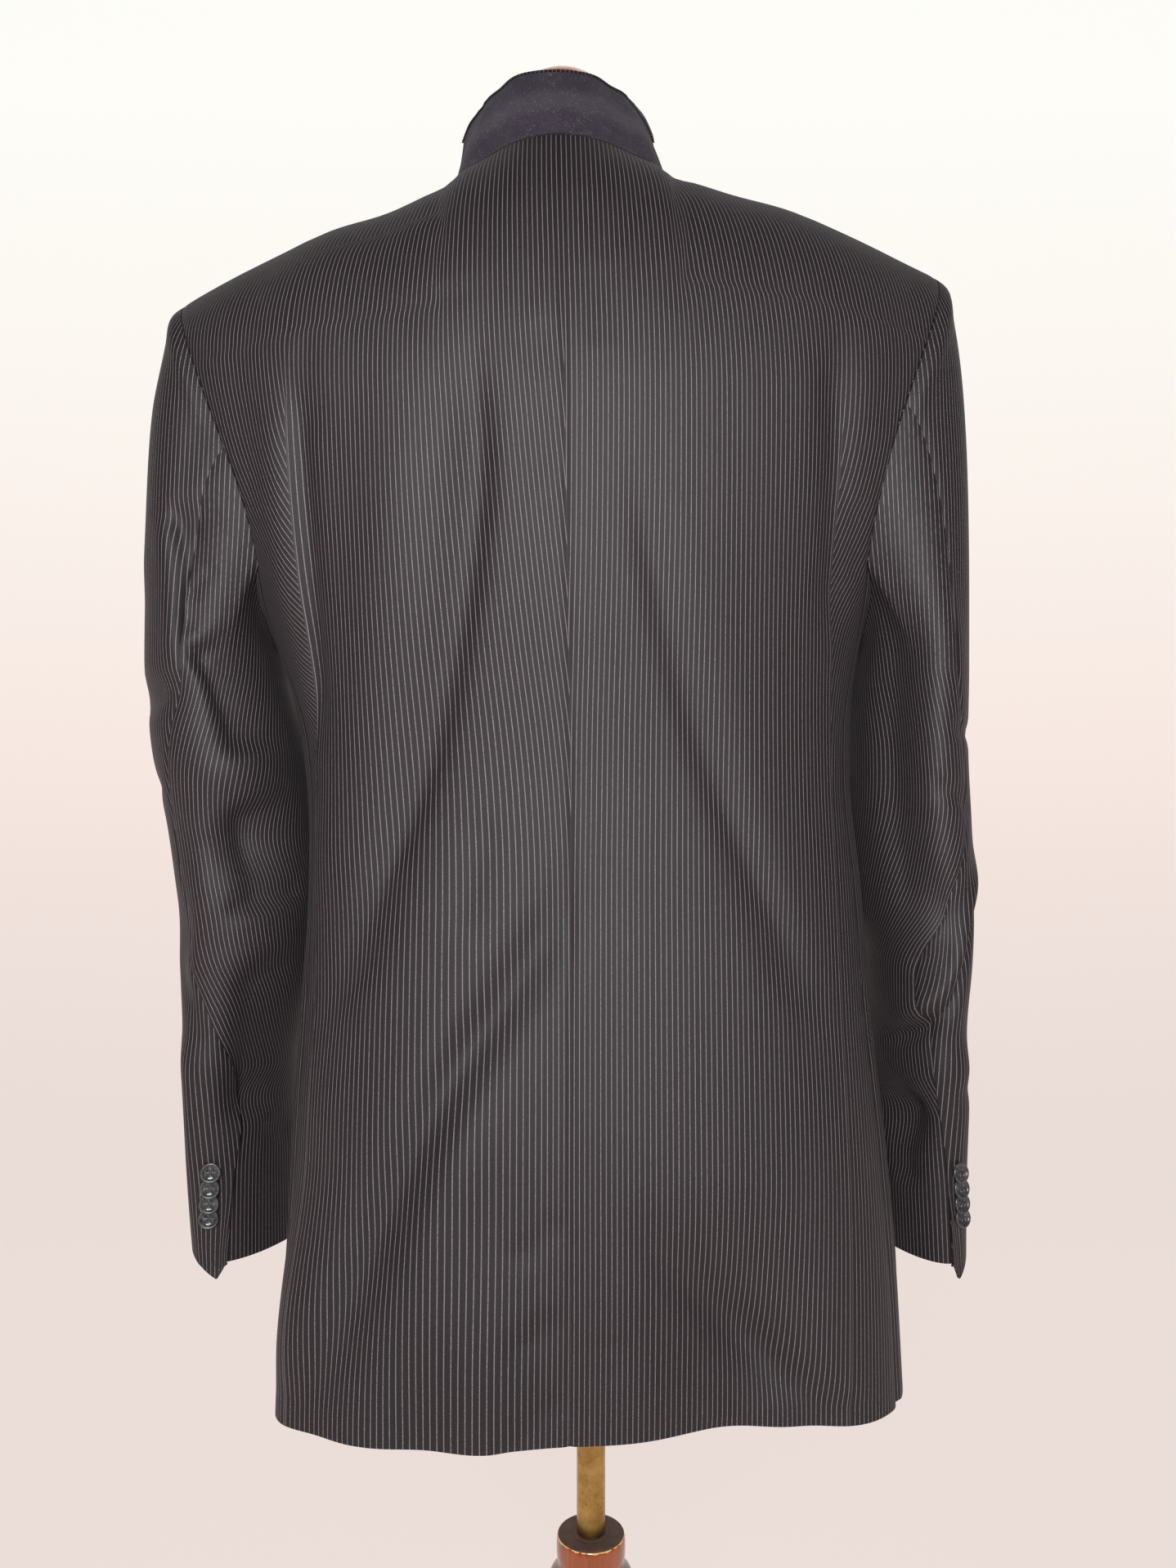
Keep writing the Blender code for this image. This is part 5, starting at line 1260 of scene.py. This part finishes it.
def sleeve_outer(side, part):
    """The outside of a sleeve part with its folds, its inside, and the flat cloth's places."""
    points, rise, around, up_head, seat, across_hole = sleeve_cage(side, part)
    like = points - np.stack([read(SLEEVES[side], "x", rise), read(SLEEVES[side], "y", rise), rise], axis=-1)
    over_head = np.stack([0.0 * rise + side, 0.0 * rise, 0.6 + 0.0 * rise], axis=-1)
    like = np.where(up_head[:, None, None] > 0.3, over_head + 3.0 * unit(like), like)
    facing = grid_facing(points, like)
    agree = np.sum(facing[-1] * seat, axis=-1)
    joined = np.where(agree[:, None] < 0.0, facing[-1], seat)
    blend_in = ease((up_head - 0.93) / 0.07)[:, None, None]
    facing = unit(facing * (1.0 - blend_in) + joined[None] * blend_in)
    held = (1.0 - ease((up_head - 0.70) / 0.26))[:, None]
    push = dents(side, around, rise) * held
    share = np.linspace(0.0, 1.0, points.shape[1])
    creases = [c._replace(line=[(a * DEGREE, z) for a, z in c.line]) for c in SLEEVE_CREASES[side]]
    round_it = around + (0.0 if part == "top" else 360.0)
    push = push + crease_height(creases, round_it * DEGREE, rise) * held
    push = push + 0.0024 * np.exp(-((up_head[:, None] - 0.90) / 0.06) ** 2) * ease((rise - 1.30) / 0.06)
    if part == "top":
        near_edge = 1.0 - ease((share - 0.20) / 0.15)
        push = push + LAP_STEP * near_edge * ease((CUFF_VENT_TOP + 0.030 - rise) / 0.030)
    from_start = run_along(points, 1)
    closed = ease((rise - CUFF_VENT_TOP) / 0.012)
    for off in (from_start, from_start[:, -1:] - from_start):
        push = push + seam_dip(off, 0.0007, 0.0018) * closed
    outer = points + facing * push[..., None]
    inner = outer - facing * CLOTH
    side_step = unit(np.gradient(outer, axis=1))
    for grid in (outer, inner):
        grid[:, 0] += side_step[:, 0] * SEAM_GAP / 2
        grid[:, -1] -= side_step[:, -1] * SEAM_GAP / 2
        grid[-1] += across_hole * SURFACE_LIFT + seat * (SEAM_STEP * (agree < 0.0))[:, None]
    return outer, inner, sleeve_flat(side, part, points, around, up_head)


for side in (LEFT, RIGHT):
    for part in ("top", "under"):
        outer, inner, flat = sleeve_outer(side, part)
        cloth_piece("sleeve_" + part + "_" + SIDE_NAME[side], outer, inner, flat)

# Undercollar
# The collar is turned up, so its under layer of dark violet-grey felt faces out behind the neck.
# It is cut on its own, without a turning, and stitched down by hand along its edges.
FELT = 0.0015

# The raised collar: from its foot on the neckline to its top edge, towards the middle, forwards
# and up, at each distance along the neckline from the nape.
Rise = namedtuple("Rise", "along inward forward up")
COLLAR_RISE = (
    Rise(0.000, 0.0000, 0.0350, 0.0590),
    Rise(0.020, -0.0010, 0.0330, 0.0585),
    Rise(0.050, 0.0090, 0.0325, 0.0605),
    Rise(0.075, 0.0175, 0.0290, 0.0635),
    Rise(0.105, 0.0185, 0.0130, 0.0640),
    Rise(0.130, 0.0100, 0.0050, 0.0660),
    Rise(0.165, -0.0080, 0.0060, 0.0640),
)

# The lapel, measured along its roll line from the nape: its width and how far it stands off the
# chest, in degrees.
Flap = namedtuple("Flap", "along angle lapel")
FLAP = (
    Flap(0.165, 58.0, 0.078),
    Flap(0.210, 22.0, 0.076),
    Flap(0.270, 14.0, 0.074),
    Flap(0.350, 9.0, 0.056),
    Flap(0.430, 7.0, 0.036),
    Flap(0.560, 6.0, 0.004),
)
GORGE = 0.165
GORGE_GAP = 0.0006
COLLAR_HEIGHT = 0.068
COLLAR_LENGTH = 0.330
TURN_START = 0.145
TURN_LENGTH = 0.065
COLLAR_ROLL = 0.0022
COLLAR_LEAN = -0.0035
NOTCH_START = 0.55
NOTCH_COLLAR = 0.022
NOTCH_LAPEL = 0.012
LAPEL_FOOT = {LEFT: 1.125, RIGHT: 1.200}


def hinge(side):
    """The neckline and roll line from the nape to the break, with its outward normals."""
    neck = np.linspace(0.0, 0.98, 60)
    level = np.full_like(neck, CHEST_HEIGHT + 1.0)
    rings, out = half_rings(side, level[:1])
    upto = np.interp(NECK_HALF_WIDTH, out[0, :90], run_along(rings, 1)[0, :90])
    back = on_torso(side, level, neck * upto)
    back_out = unit(np.cross(on_torso(side, level, neck * upto + 0.002) - back,
                             on_torso(side, level - 0.01, neck * upto) - back) * -side)
    heights = np.concatenate([CHEST_HEIGHT + np.linspace(1.0, 0.05, 80),
                              np.linspace(CHEST_HEIGHT, LAPEL_FOOT[side], 60)])
    edge = np.ones_like(heights)
    front = front_outer(side, edge, heights, False)[0]
    facing = front_outer(side, edge, np.minimum(heights, CHEST_HEIGHT + 0.985), False)[1]
    return np.concatenate([back, front]), np.concatenate([back_out, facing])


def even_path(path, facing, step):
    """A path resampled evenly, with its normals and the distance at each of its points."""
    steps = np.linalg.norm(np.diff(path, axis=0), axis=1)
    keep = np.concatenate([[True], steps > 1e-6])
    path, facing = path[keep], facing[keep]
    arc = run_along(path)
    at = np.arange(0.0, arc[-1], step)
    both = [np.interp(at, arc, column_of) for column_of in np.concatenate([path, facing], axis=1).T]
    return np.array(both).T, at


def flap_frame():
    """The whole hinge from the left break over the nape to the right break."""
    halves = []
    for side in (LEFT, RIGHT):
        path, facing = hinge(side)
        rows, at = even_path(path, facing, 0.002)
        halves.append((rows, at * side))
    rows = np.concatenate([halves[0][0][::-1], halves[1][0][1:]])
    along = np.concatenate([halves[0][1][::-1], halves[1][1][1:]])
    weights = np.exp(-np.linspace(-2.0, 2.0, 15) ** 2)
    padded = np.concatenate([np.repeat(rows[:1], 7, axis=0), rows, np.repeat(rows[-1:], 7, axis=0)])
    soft = np.array([np.convolve(c, weights / weights.sum(), "valid") for c in padded.T]).T
    path = rows[:, :3]
    tangent = unit(np.gradient(soft[:, :3], axis=0))
    facing = unit(soft[:, 3:] - tangent * np.sum(soft[:, 3:] * tangent, axis=1, keepdims=True))
    away = unit(np.cross(tangent, facing))
    return along, path, facing, away


def flap_points(along, share, width=None):
    """Points of collar or lapel, share of the way from the roll line to the outer edge."""
    known, path, facing, away = FRAME

    def pick(rows):
        return np.stack([np.interp(along, known, c) for c in rows.T], axis=-1)

    place, face, aside = pick(path), unit(pick(facing)), unit(pick(away))
    far = np.abs(along)
    angle = np.radians(read(FLAP, "angle", far, "along"))[..., None]
    folded = aside * np.cos(angle) + face * np.sin(angle)
    raised = np.stack([
        COLLAR_LEAN - np.sign(along) * read(COLLAR_RISE, "inward", far, "along"),
        read(COLLAR_RISE, "forward", far, "along"),
        read(COLLAR_RISE, "up", far, "along"),
    ], axis=-1)
    height = np.linalg.norm(raised, axis=-1)
    turn = ease((far - TURN_START) / TURN_LENGTH)[..., None]
    out = unit(unit(raised) * (1.0 - turn) + folded * turn)
    reach = SEAM_STEP + share * ((height if width is None else width) - SEAM_STEP)
    lying = ease(1.0 - angle / math.radians(60.0)) * turn
    return place + out * reach[..., None] + face * SEAM_STEP * lying


def flap_through(points, side=1):
    """Unit directions through a collar or lapel, from the felt side to the cloth side."""
    return unit(np.cross(np.gradient(points, axis=0), np.gradient(points, axis=1)) * side)


def collar_net(rows, columns):
    """The raised collar's middle surface, its directions through and the roll in it."""
    up, span = np.meshgrid(rows, columns, indexing="ij")
    cut = GORGE - GORGE_GAP - NOTCH_COLLAR * ease((up - NOTCH_START) / (1.0 - NOTCH_START)) ** 0.7
    points = flap_points(span * cut, up)
    through = flap_through(points)
    roll = (COLLAR_ROLL * np.sin(np.pi * up) * (1.0 - 0.5 * np.abs(span)))[..., None]
    return points, through, roll, up, span


def felted(name):
    """Dense felt with pale lint caught on it and a faintly paler band at mid height."""
    add, finish = blank(name)
    flat = add("ShaderNodeUVMap", {"uv_map": "Flat"}).outputs[0]
    up = add("ShaderNodeSeparateXYZ", Vector=flat).outputs[1]
    fibres = noise(add, flat, 1300.0, 5.0, FLAT_NOISE, Roughness=0.75, Distortion=1.2)
    color = ramp(add, fibres, ((0.30, (0.013, 0.010, 0.017)), (0.68, (0.052, 0.042, 0.060))))
    color = shaded(add, color, 0.6, noise(add, flat, 42.0, 4.0, FLAT_NOISE),
                   (0.35, (0.78, 0.77, 0.80)), (0.68, (1.18, 1.16, 1.14)))
    band = calc(add, "MULTIPLY", change(add, up, 0.016, 0.030, way="SMOOTHSTEP"),
                change(add, up, 0.034, 0.050, 1.0, 0.0, "SMOOTHSTEP"))
    color = mixed(add, calc(add, "MULTIPLY", band, 0.16), color, (0.15, 0.135, 0.15, 1.0))
    lint = noise(add, stretched(add, flat, (1.0, 0.55, 1.0)), 520.0, 4.0, FLAT_NOISE, Roughness=0.6,
                 Distortion=2.5)
    lint = change(add, lint, 0.62, 0.72, 0.0, 0.55, "SMOOTHSTEP")
    return finish({
        "Base Color": mixed(add, lint, color, (0.30, 0.27, 0.28, 1.0)),
        "Roughness": 0.92,
        "Specular IOR Level": 0.15,
        "Sheen Weight": 0.05,
        "Sheen Roughness": 0.55,
        "Sheen Tint": (0.72, 0.66, 0.74, 1.0),
    }, fibres, 0.35, 0.0005)


FRAME = flap_frame()
undercollar_felt = felted("undercollar_felt_cloth")
collar_rows = ends_finer(COLLAR_HEIGHT, 0.003)
columns = ends_finer(COLLAR_LENGTH, THREAD) * 2.0 - 1.0
collar, collar_through, roll, up, span = collar_net(collar_rows, columns)
felt_face = collar - collar_through * roll
flat = np.stack([span * GORGE, up * COLLAR_HEIGHT], axis=-1)
cloth_piece("undercollar", felt_face, felt_face + collar_through * FELT, flat,
            undercollar_felt, "undercollar_felt_layer")

# Top collar
# The collar's other layer, of the suiting. Its edge is turned over the felt as a narrow band,
# which widens at the lower right, where the collar has slipped round.

# The turned edge: how far up each row of its points stands, and how far its outside and its
# inside lie through the collar.
TURNED_EDGE = (
    (0.0006, FELT + 0.0019, FELT + 0.0004),
    (0.0011, FELT + 0.0010, FELT - 0.0004),
    (0.0012, 0.0002, 0.0003),
    (0.0008, -0.0008, -0.0002),
    (0.0002, -0.0012, -0.0003),
)

height = np.linalg.norm(collar[-1] - collar[0], axis=-1)
band = 0.0011 + 0.0040 * ease((columns - 0.45) / 0.40)
upward = unit(collar[-1] - collar[-2])
turned_over = []
for rise_by, outer_off, inner_off in TURNED_EDGE:
    turned_over.append((
        collar[-1] + upward * rise_by + collar_through[-1] * (outer_off - roll[-1]),
        collar[-1] + upward * min(rise_by, 0.0003) + collar_through[-1] * (inner_off - roll[-1]),
    ))
for part_of_band in (0.35, 0.70, 1.0):
    low = np.stack([
        [np.interp(1.0 - part_of_band * band[c] / height[c], collar_rows, collar[:, c, axis])
         for axis in range(3)] for c in range(len(columns))])
    turned_over.append((low + collar_through[-1] * (-0.0013 - roll[-1]),
                        low + collar_through[-1] * (-0.0003 - roll[-1])))
outer, inner = (
    np.concatenate([collar + collar_through * (FELT + off - roll), np.stack([t[k] for t in turned_over])])
    for k, off in ((0, 0.0021), (1, 0.0005)))
flat = np.stack([np.repeat(span[:1] * GORGE, len(outer), axis=0), run_along(outer)], axis=-1)
cloth_piece("top_collar", outer, inner, flat)

# Lapels
# The part of each front above the button that is turned back, faced with the suiting. The
# stripes run along its outer edge.
LAPEL_END_GAP = 0.004
LAPEL_WIDTH = 0.074
LAPEL_LENGTH = 0.360


def lapel_sheet(side, up, share):
    """A lapel's points, its directions through, its width and the distance along its roll line."""
    top = GORGE + GORGE_GAP + NOTCH_LAPEL * ease((up - NOTCH_START) / (1.0 - NOTCH_START)) ** 0.7
    end = abs(FRAME[0][0] if side == LEFT else FRAME[0][-1]) - LAPEL_END_GAP
    along = top + (end - top) * share
    width = np.minimum(read(FLAP, "lapel", along, "along"), 0.006 + (end - along) * 0.40)
    points = flap_points(side * along, up, width)
    return points, flap_through(points, side), width, along


for side in (LEFT, RIGHT):
    up, share = np.meshgrid(ends_finer(LAPEL_WIDTH, 0.0035), ends_finer(LAPEL_LENGTH, THREAD), indexing="ij")
    points, through, width, along = lapel_sheet(side, up, share)
    low = points + through * SURFACE_LIFT
    flat = np.stack([(1.0 - up) * width, along], axis=-1)
    cloth_piece("lapel_" + SIDE_NAME[side], low + through * CLOTH, low, flat)

# Stitching
# Hand and machine stitches in dark thread: small felling stitches hold the felt along the neck
# and its upper edge, and pick stitches run inside the edges of the lapels and pocket flaps.
STITCH_SEED = 5


def stitch_tree():
    """Lays one stitch after another along a line of points, seated on the cloth."""
    tree = bpy.data.node_groups.new("Stitch line", "GeometryNodeTree")
    face = tree.interface
    face.new_socket("Geometry", in_out="INPUT", socket_type="NodeSocketGeometry")
    for label, value in (("Spacing", 0.004), ("Length", 0.0020), ("Thickness", 0.0004), ("Turn", 0.0)):
        face.new_socket(label, in_out="INPUT", socket_type="NodeSocketFloat").default_value = value
    face.new_socket("Thread", in_out="INPUT", socket_type="NodeSocketMaterial")
    face.new_socket("Geometry", in_out="OUTPUT", socket_type="NodeSocketGeometry")
    add = adder(tree)
    given = add("NodeGroupInput").outputs
    curve = add("GeometryNodeMeshToCurve", Mesh=given["Geometry"]).outputs["Curve"]
    even = add("GeometryNodeResampleCurve", {"mode": "LENGTH"}, Curve=curve, Length=given["Spacing"])
    thread = add("GeometryNodeMeshUVSphere", Segments=6, Rings=4, Radius=0.5)
    tangent = add("GeometryNodeInputTangent").outputs["Tangent"]
    facing = add("GeometryNodeInputNamedAttribute", {"data_type": "FLOAT_VECTOR"}, Name="facing")
    lying = add("FunctionNodeAlignRotationToVector", {"axis": "X"}, Vector=tangent)
    upright = add("FunctionNodeAlignRotationToVector", {"axis": "Z", "pivot_axis": "X"},
                  Rotation=lying.outputs["Rotation"], Vector=facing.outputs["Attribute"])
    uneven = add("FunctionNodeRandomValue", {"data_type": "FLOAT"}, Min=-0.10, Max=0.10, Seed=STITCH_SEED)
    angle = calc(add, "ADD", given["Turn"], uneven.outputs["Value"])
    spin = add("FunctionNodeAxisAngleToRotation", Axis=(0.0, 0.0, 1.0), Angle=angle)
    turned = add("FunctionNodeRotateRotation", {"rotation_space": "LOCAL"},
                 **{"Rotation": upright.outputs["Rotation"], "Rotate By": spin.outputs["Rotation"]})
    size = add("ShaderNodeCombineXYZ", X=given["Length"], Y=given["Thickness"], Z=given["Thickness"])
    laid = add("GeometryNodeInstanceOnPoints", Points=even.outputs["Curve"], Instance=thread.outputs["Mesh"],
               Rotation=turned.outputs["Rotation"], Scale=size.outputs["Vector"])
    real = add("GeometryNodeRealizeInstances", Geometry=laid.outputs["Instances"])
    dyed = add("GeometryNodeSetMaterial", Geometry=real.outputs["Geometry"], Material=given["Thread"])
    add("NodeGroupOutput", Geometry=dyed.outputs["Geometry"])
    return tree


def stitched(name, lines, thread, spacing=0.004, length=0.0020, thickness=0.0004, turn=0.0):
    """Stitches along lines of points with their outward directions, as one plain mesh."""
    vertices, facings, edges = [], [], []
    for points, facing in lines:
        start = len(vertices)
        vertices += [tuple(p) for p in points]
        facings += [tuple(f) for f in facing]
        edges += [(start + i, start + i + 1) for i in range(len(points) - 1)]
    mesh = bpy.data.meshes.new(name)
    mesh.from_pydata(vertices, edges, [])
    kept = mesh.attributes.new("facing", "FLOAT_VECTOR", "POINT")
    kept.data.foreach_set("vector", np.array(facings, np.float32).ravel())
    thing = in_scene(name, mesh)
    sewing = thing.modifiers.new("Sewing", "NODES")
    sewing.node_group = STITCH_TREE
    values = {"Spacing": spacing, "Length": length, "Thickness": thickness, "Turn": turn, "Thread": thread}
    for item in STITCH_TREE.interface.items_tree:
        if item.item_type == "SOCKET" and item.in_out == "INPUT" and item.name in values:
            sewing[item.identifier] = values[item.name]
    seen = thing.evaluated_get(bpy.context.evaluated_depsgraph_get())
    result = bpy.data.meshes.new_from_object(seen)
    thing.modifiers.remove(sewing)
    thing.data = result
    result.shade_smooth()
    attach(thing, "root")
    return thing


def on_grid(grid, through, row_share, lift):
    """A line across a grid at a share of the way up it, lifted off the cloth."""
    at = row_share * (len(grid) - 1)
    low = int(min(math.floor(at), len(grid) - 2))
    f = at - low
    return grid[low] * (1 - f) + grid[low + 1] * f + through[low] * lift, through[low]


STITCH_TREE = stitch_tree()
add, finish = blank("sewing_thread")
ply = noise(add, object_place(add), 2600.0, 2.0)
dyed = ramp(add, ply, ((0.3, (0.018, 0.016, 0.020)), (0.7, (0.060, 0.054, 0.062))))
thread_black = finish({"Roughness": 0.65, "Base Color": dyed})

felt_out = -collar_through
neck_line, edge_line = (on_grid(felt_face[:, 3:-3], felt_out[:, 3:-3], row, 0.00005) for row in (0.055, 0.90))
felling = stitched("felling_stitches", [neck_line], thread_black, 0.0046, 0.0030, 0.00045, 0.9)
running = stitched("felt_edge_stitches", [edge_line], thread_black, 0.0055, 0.0022, 0.0004)

lines = []
for side in (LEFT, RIGHT):
    up, share = np.meshgrid([0.80, 0.92, 0.96], np.linspace(0.02, 0.97, 90), indexing="ij")
    points, through, _, _ = lapel_sheet(side, up, share)
    lines.append((points[1] + through[1] * (SURFACE_LIFT + CLOTH), through[1]))
for side in (LEFT, RIGHT):
    across, share = np.meshgrid(np.linspace(0.03, 0.97, 60), [0.88, 0.915, 0.945])
    outer, facing, _ = front_outer(side, *on_flap(across, share))
    facing = grid_facing(outer, facing)
    lines.append((outer[1] + facing[1] * (SURFACE_LIFT + CLOTH), facing[1]))
picks = stitched("pick_stitches", lines, thread_black, 0.0050, 0.0016, 0.00035)

# Buttons
# Four-hole buttons turned from dark grey resin, with a raised polished rim and a dished middle,
# sewn on through their holes. The cuffs' four overlap; two larger ones close the front.
BUTTON = 0.0127
FRONT_BUTTON = 0.0200
CUFF_BUTTON_HEIGHTS = (0.8530, 0.8422, 0.8318, 0.8215)
CUFF_BUTTON_TILT = 20.0
CUFF_BUTTON_THICK = 0.0023
CUFF_BUTTON_SINK = 0.0002
CUFF_BUTTON_INSET = {LEFT: 22.0, RIGHT: 12.0}
FRONT_BUTTON_HEIGHTS = (1.075, 0.965)
FRONT_BUTTON_THICK = 0.0032
HOLE_OUT = 0.17
HOLE_REACH = 0.085
# A button's section from its middle out over the rim and back underneath: shares of its radius
# and of its thickness.
BUTTON_SECTION = (
    (0.10, -0.02), (0.20, -0.02), (0.28, -0.02), (0.36, -0.02), (0.44, 0.0), (0.52, 0.02), (0.62, 0.08),
    (0.70, 0.24), (0.76, 0.40), (0.82, 0.48), (0.88, 0.50), (0.93, 0.46), (0.97, 0.34), (1.0, 0.14),
    (0.995, 0.0), (0.95, -0.24), (0.86, -0.44), (0.60, -0.50), (0.30, -0.50),
)


def turn_to(facing, lean=0.0):
    """A rotation that points +Z along facing, tipped by lean so the lower edge stands out."""
    face = Vector(facing).normalized()
    level_axis = Vector((0.0, 0.0, 1.0)).cross(face).normalized()
    tipped = Quaternion(level_axis, -lean) @ face
    upright = tipped.cross(level_axis).normalized()
    return Matrix((level_axis, upright, tipped)).transposed().to_quaternion()


def sewn_button(name, node, diameter, thick, spot, rotation):
    """A button with four holes and its crossed thread, turned to its place."""
    radius, turns = diameter / 2, 64
    holes = [(HOLE_OUT * diameter * math.cos(a), HOLE_OUT * diameter * math.sin(a))
             for a in np.radians((45, 135, 225, 315))]
    vertices = []
    for share, height in BUTTON_SECTION:
        for a in np.linspace(0.0, 2 * math.pi, turns, endpoint=False):
            x, y = share * radius * math.cos(a), share * radius * math.sin(a)
            z = height * thick
            if share < 0.56 and height > -0.3:
                near = min(math.hypot(x - h[0], y - h[1]) for h in holes)
                z -= 0.42 * thick * float(ease((HOLE_REACH * diameter - near) / (0.035 * diameter)))
            vertices.append((x, y, z))
    vertices += [(0.0, 0.0, BUTTON_SECTION[0][1] * thick), (0.0, 0.0, -0.50 * thick)]
    faces = closed_faces(len(BUTTON_SECTION), turns)
    slots = [0] * len(faces)
    rounds, steps = 9, 6
    for a, b in ((0, 2), (1, 3)):
        start, stop = np.array(holes[a]), np.array(holes[b])
        run = stop - start
        side_of = np.array([-run[1], run[0]]) / np.linalg.norm(run)
        base_at = len(vertices)
        for f in np.linspace(0.0, 1.0, rounds):
            centre = start + run * f
            high = (0.16 * math.sin(math.pi * f) - 0.14) * thick + (0.04 * thick if a else 0.0)
            for t in np.linspace(0.0, 2 * math.pi, steps, endpoint=False):
                off = centre + side_of * math.cos(t) * 0.036 * diameter
                vertices.append((off[0], off[1], high + math.sin(t) * 0.020 * diameter))
        faces += [(p, s, r, q) for p, q, r, s in round_faces(rounds, steps, base_at)]
        faces.append(tuple(base_at + j for j in range(steps - 1, -1, -1)))
        faces.append(tuple(base_at + (rounds - 1) * steps + j for j in range(steps)))
        slots += [1] * ((rounds - 1) * steps + 2)
    button = surface(name, vertices, faces, [resin, thread_black], slots)
    button.data.transform(Matrix.Translation(Vector(spot)) @ rotation.to_matrix().to_4x4())
    return stands_for(button, node)


add, finish = blank("dark_resin")
place = object_place(add)
swirl = noise(add, place, 230.0, 4.0, Distortion=2.0)
color = ramp(add, swirl, ((0.32, (0.014, 0.014, 0.016)), (0.55, (0.050, 0.049, 0.052)),
                          (0.74, (0.120, 0.115, 0.118))))
rough = change(add, noise(add, place, 1500.0, 3.0), 0.4, 0.7, 0.28, 0.42)
resin = finish({"Base Color": color, "Roughness": rough, "Coat Weight": 0.2, "Coat Roughness": 0.16})

tilt = math.radians(CUFF_BUTTON_TILT)
stand = LAP_STEP + BUTTON / 2 * math.sin(tilt) + CUFF_BUTTON_THICK / 2 - CUFF_BUTTON_SINK
heights = np.array(CUFF_BUTTON_HEIGHTS)
for side in (LEFT, RIGHT):
    around = read(SLEEVES[side], "lap", heights) - CUFF_BUTTON_INSET[side]
    spots = sleeve_ring(side, heights, around)
    along = (sleeve_ring(side, heights, around - 4.0) - sleeve_ring(side, heights, around + 4.0)).mean(axis=0)
    facing = unit(np.cross(along, spots[-1] - spots[0]) * -side)
    for number, spot in enumerate(spots + facing * stand, start=1):
        name = "cuff_button_" + SIDE_NAME[side] + "_" + str(number)
        sewn_button(name + "_turned", name, BUTTON, CUFF_BUTTON_THICK, spot, turn_to(facing, tilt))

for number, height in enumerate(FRONT_BUTTON_HEIGHTS, start=1):
    across = np.linspace(0.90, 1.0, 41)[None, :].repeat(3, axis=0)
    level = height + np.array([[-0.002], [0.0], [0.002]]) + 0.0 * across
    outer, facing, _ = front_outer(LEFT, across, level)
    out_of = read(TORSO, "seam", height) - outer[1, :, 0]
    col = int(np.argmin(np.abs(out_of)))
    toward = grid_facing(outer, facing)[1, col]
    spot = outer[1, col] + toward * (FRONT_BUTTON_THICK / 2 + SURFACE_LIFT)
    sewn_button("front_button_turned_" + str(number), "front_button_" + str(number), FRONT_BUTTON,
                FRONT_BUTTON_THICK, spot, turn_to(toward))

# Floor and backdrop
# A pale paper sweep under the stand, curved up behind it. It glows with painted light, darker near
# the floor and brighter towards the top, as a lit wall is. It isn't part of the object.
sweep_points = []
for i in range(41):
    t = i / 40
    if t < 0.35:
        sweep_points.append((-6.0 + (t / 0.35) * 8.0, -0.0005))
    elif t < 0.65:
        a = (t - 0.35) / 0.30 * math.pi / 2
        sweep_points.append((2.0 + 1.2 * math.sin(a), 1.2 - 1.2 * math.cos(a) - 0.0005))
    else:
        sweep_points.append((3.2, 1.2 + (t - 0.65) / 0.35 * 6.0))
vertices = [(x, y, z) for y, z in sweep_points for x in (-8.0, 8.0)]
faces = [(2 * i, 2 * i + 1, 2 * i + 3, 2 * i + 2) for i in range(len(sweep_points) - 1)]
add, finish = blank("pale_paper_painted_glow")
# Painted light: the paper glows, darker near the floor and brighter towards the top.
height = add("ShaderNodeSeparateXYZ", Vector=object_place(add)).outputs[2]
painted_glow = ramp(add, change(add, height, -0.2, 3.6), ((0.05, (0.80, 0.70, 0.66)), (0.36, (0.91, 0.79, 0.74)),
                                                  (0.70, (0.97, 0.93, 0.88)), (0.95, (1.0, 1.0, 0.96))))
paper = finish({
    "Base Color": (0.16, 0.15, 0.145, 1.0),
    "Roughness": 0.95,
    "Specular IOR Level": 0.1,
    "Emission Color": painted_glow,
    "Emission Strength": 0.94,
})
sweep = surface("paper_sweep", vertices, faces, [paper])

# Light
# One soft light near the camera and a little above it, a much weaker one from the left, and a pale
# room all round.


def soft_light(name, place, aim, size, power):
    """A square area light that faces a point."""
    lamp = bpy.data.lights.new(name, "AREA")
    lamp.size = size
    lamp.energy = power
    thing = in_scene(name, lamp)
    thing.location = place
    thing.rotation_euler = (Vector(aim) - Vector(place)).to_track_quat("-Z", "Y").to_euler()


soft_light("key", (-0.06, -1.45, 1.42), (0.0, 0.0, 1.12), 0.42, 28.0)
soft_light("fill", (-1.5, -1.3, 1.2), (0.0, 0.0, 1.05), 1.2, 0.4)
world = bpy.data.worlds.new("pale_room")
world.use_nodes = True
room = world.node_tree.nodes["Background"].inputs
room["Color"].default_value = (1.0, 0.97, 0.95, 1.0)
room["Strength"].default_value = 0.012
bpy.context.scene.world = world
bpy.context.scene.view_settings.view_transform = "Standard"

# Camera
# It stands at the photograph's place: behind the jacket, level with its middle and looking straight
# at it. Its length of view is given for a picture 1918 pixels high.
SENSOR = 36.0
VIEW_LENGTH = 1480.0
PICTURE_HEIGHT = 1918.0

lens = bpy.data.cameras.new("camera")
lens.sensor_width = SENSOR
lens.lens = VIEW_LENGTH * SENSOR / PICTURE_HEIGHT
lens.clip_start = 0.02
camera = in_scene("camera", lens)
camera.location = (-0.002, -0.81, 1.10)
camera.rotation_euler = (math.pi / 2, 0.0, 0.0)
bpy.context.scene.camera = camera
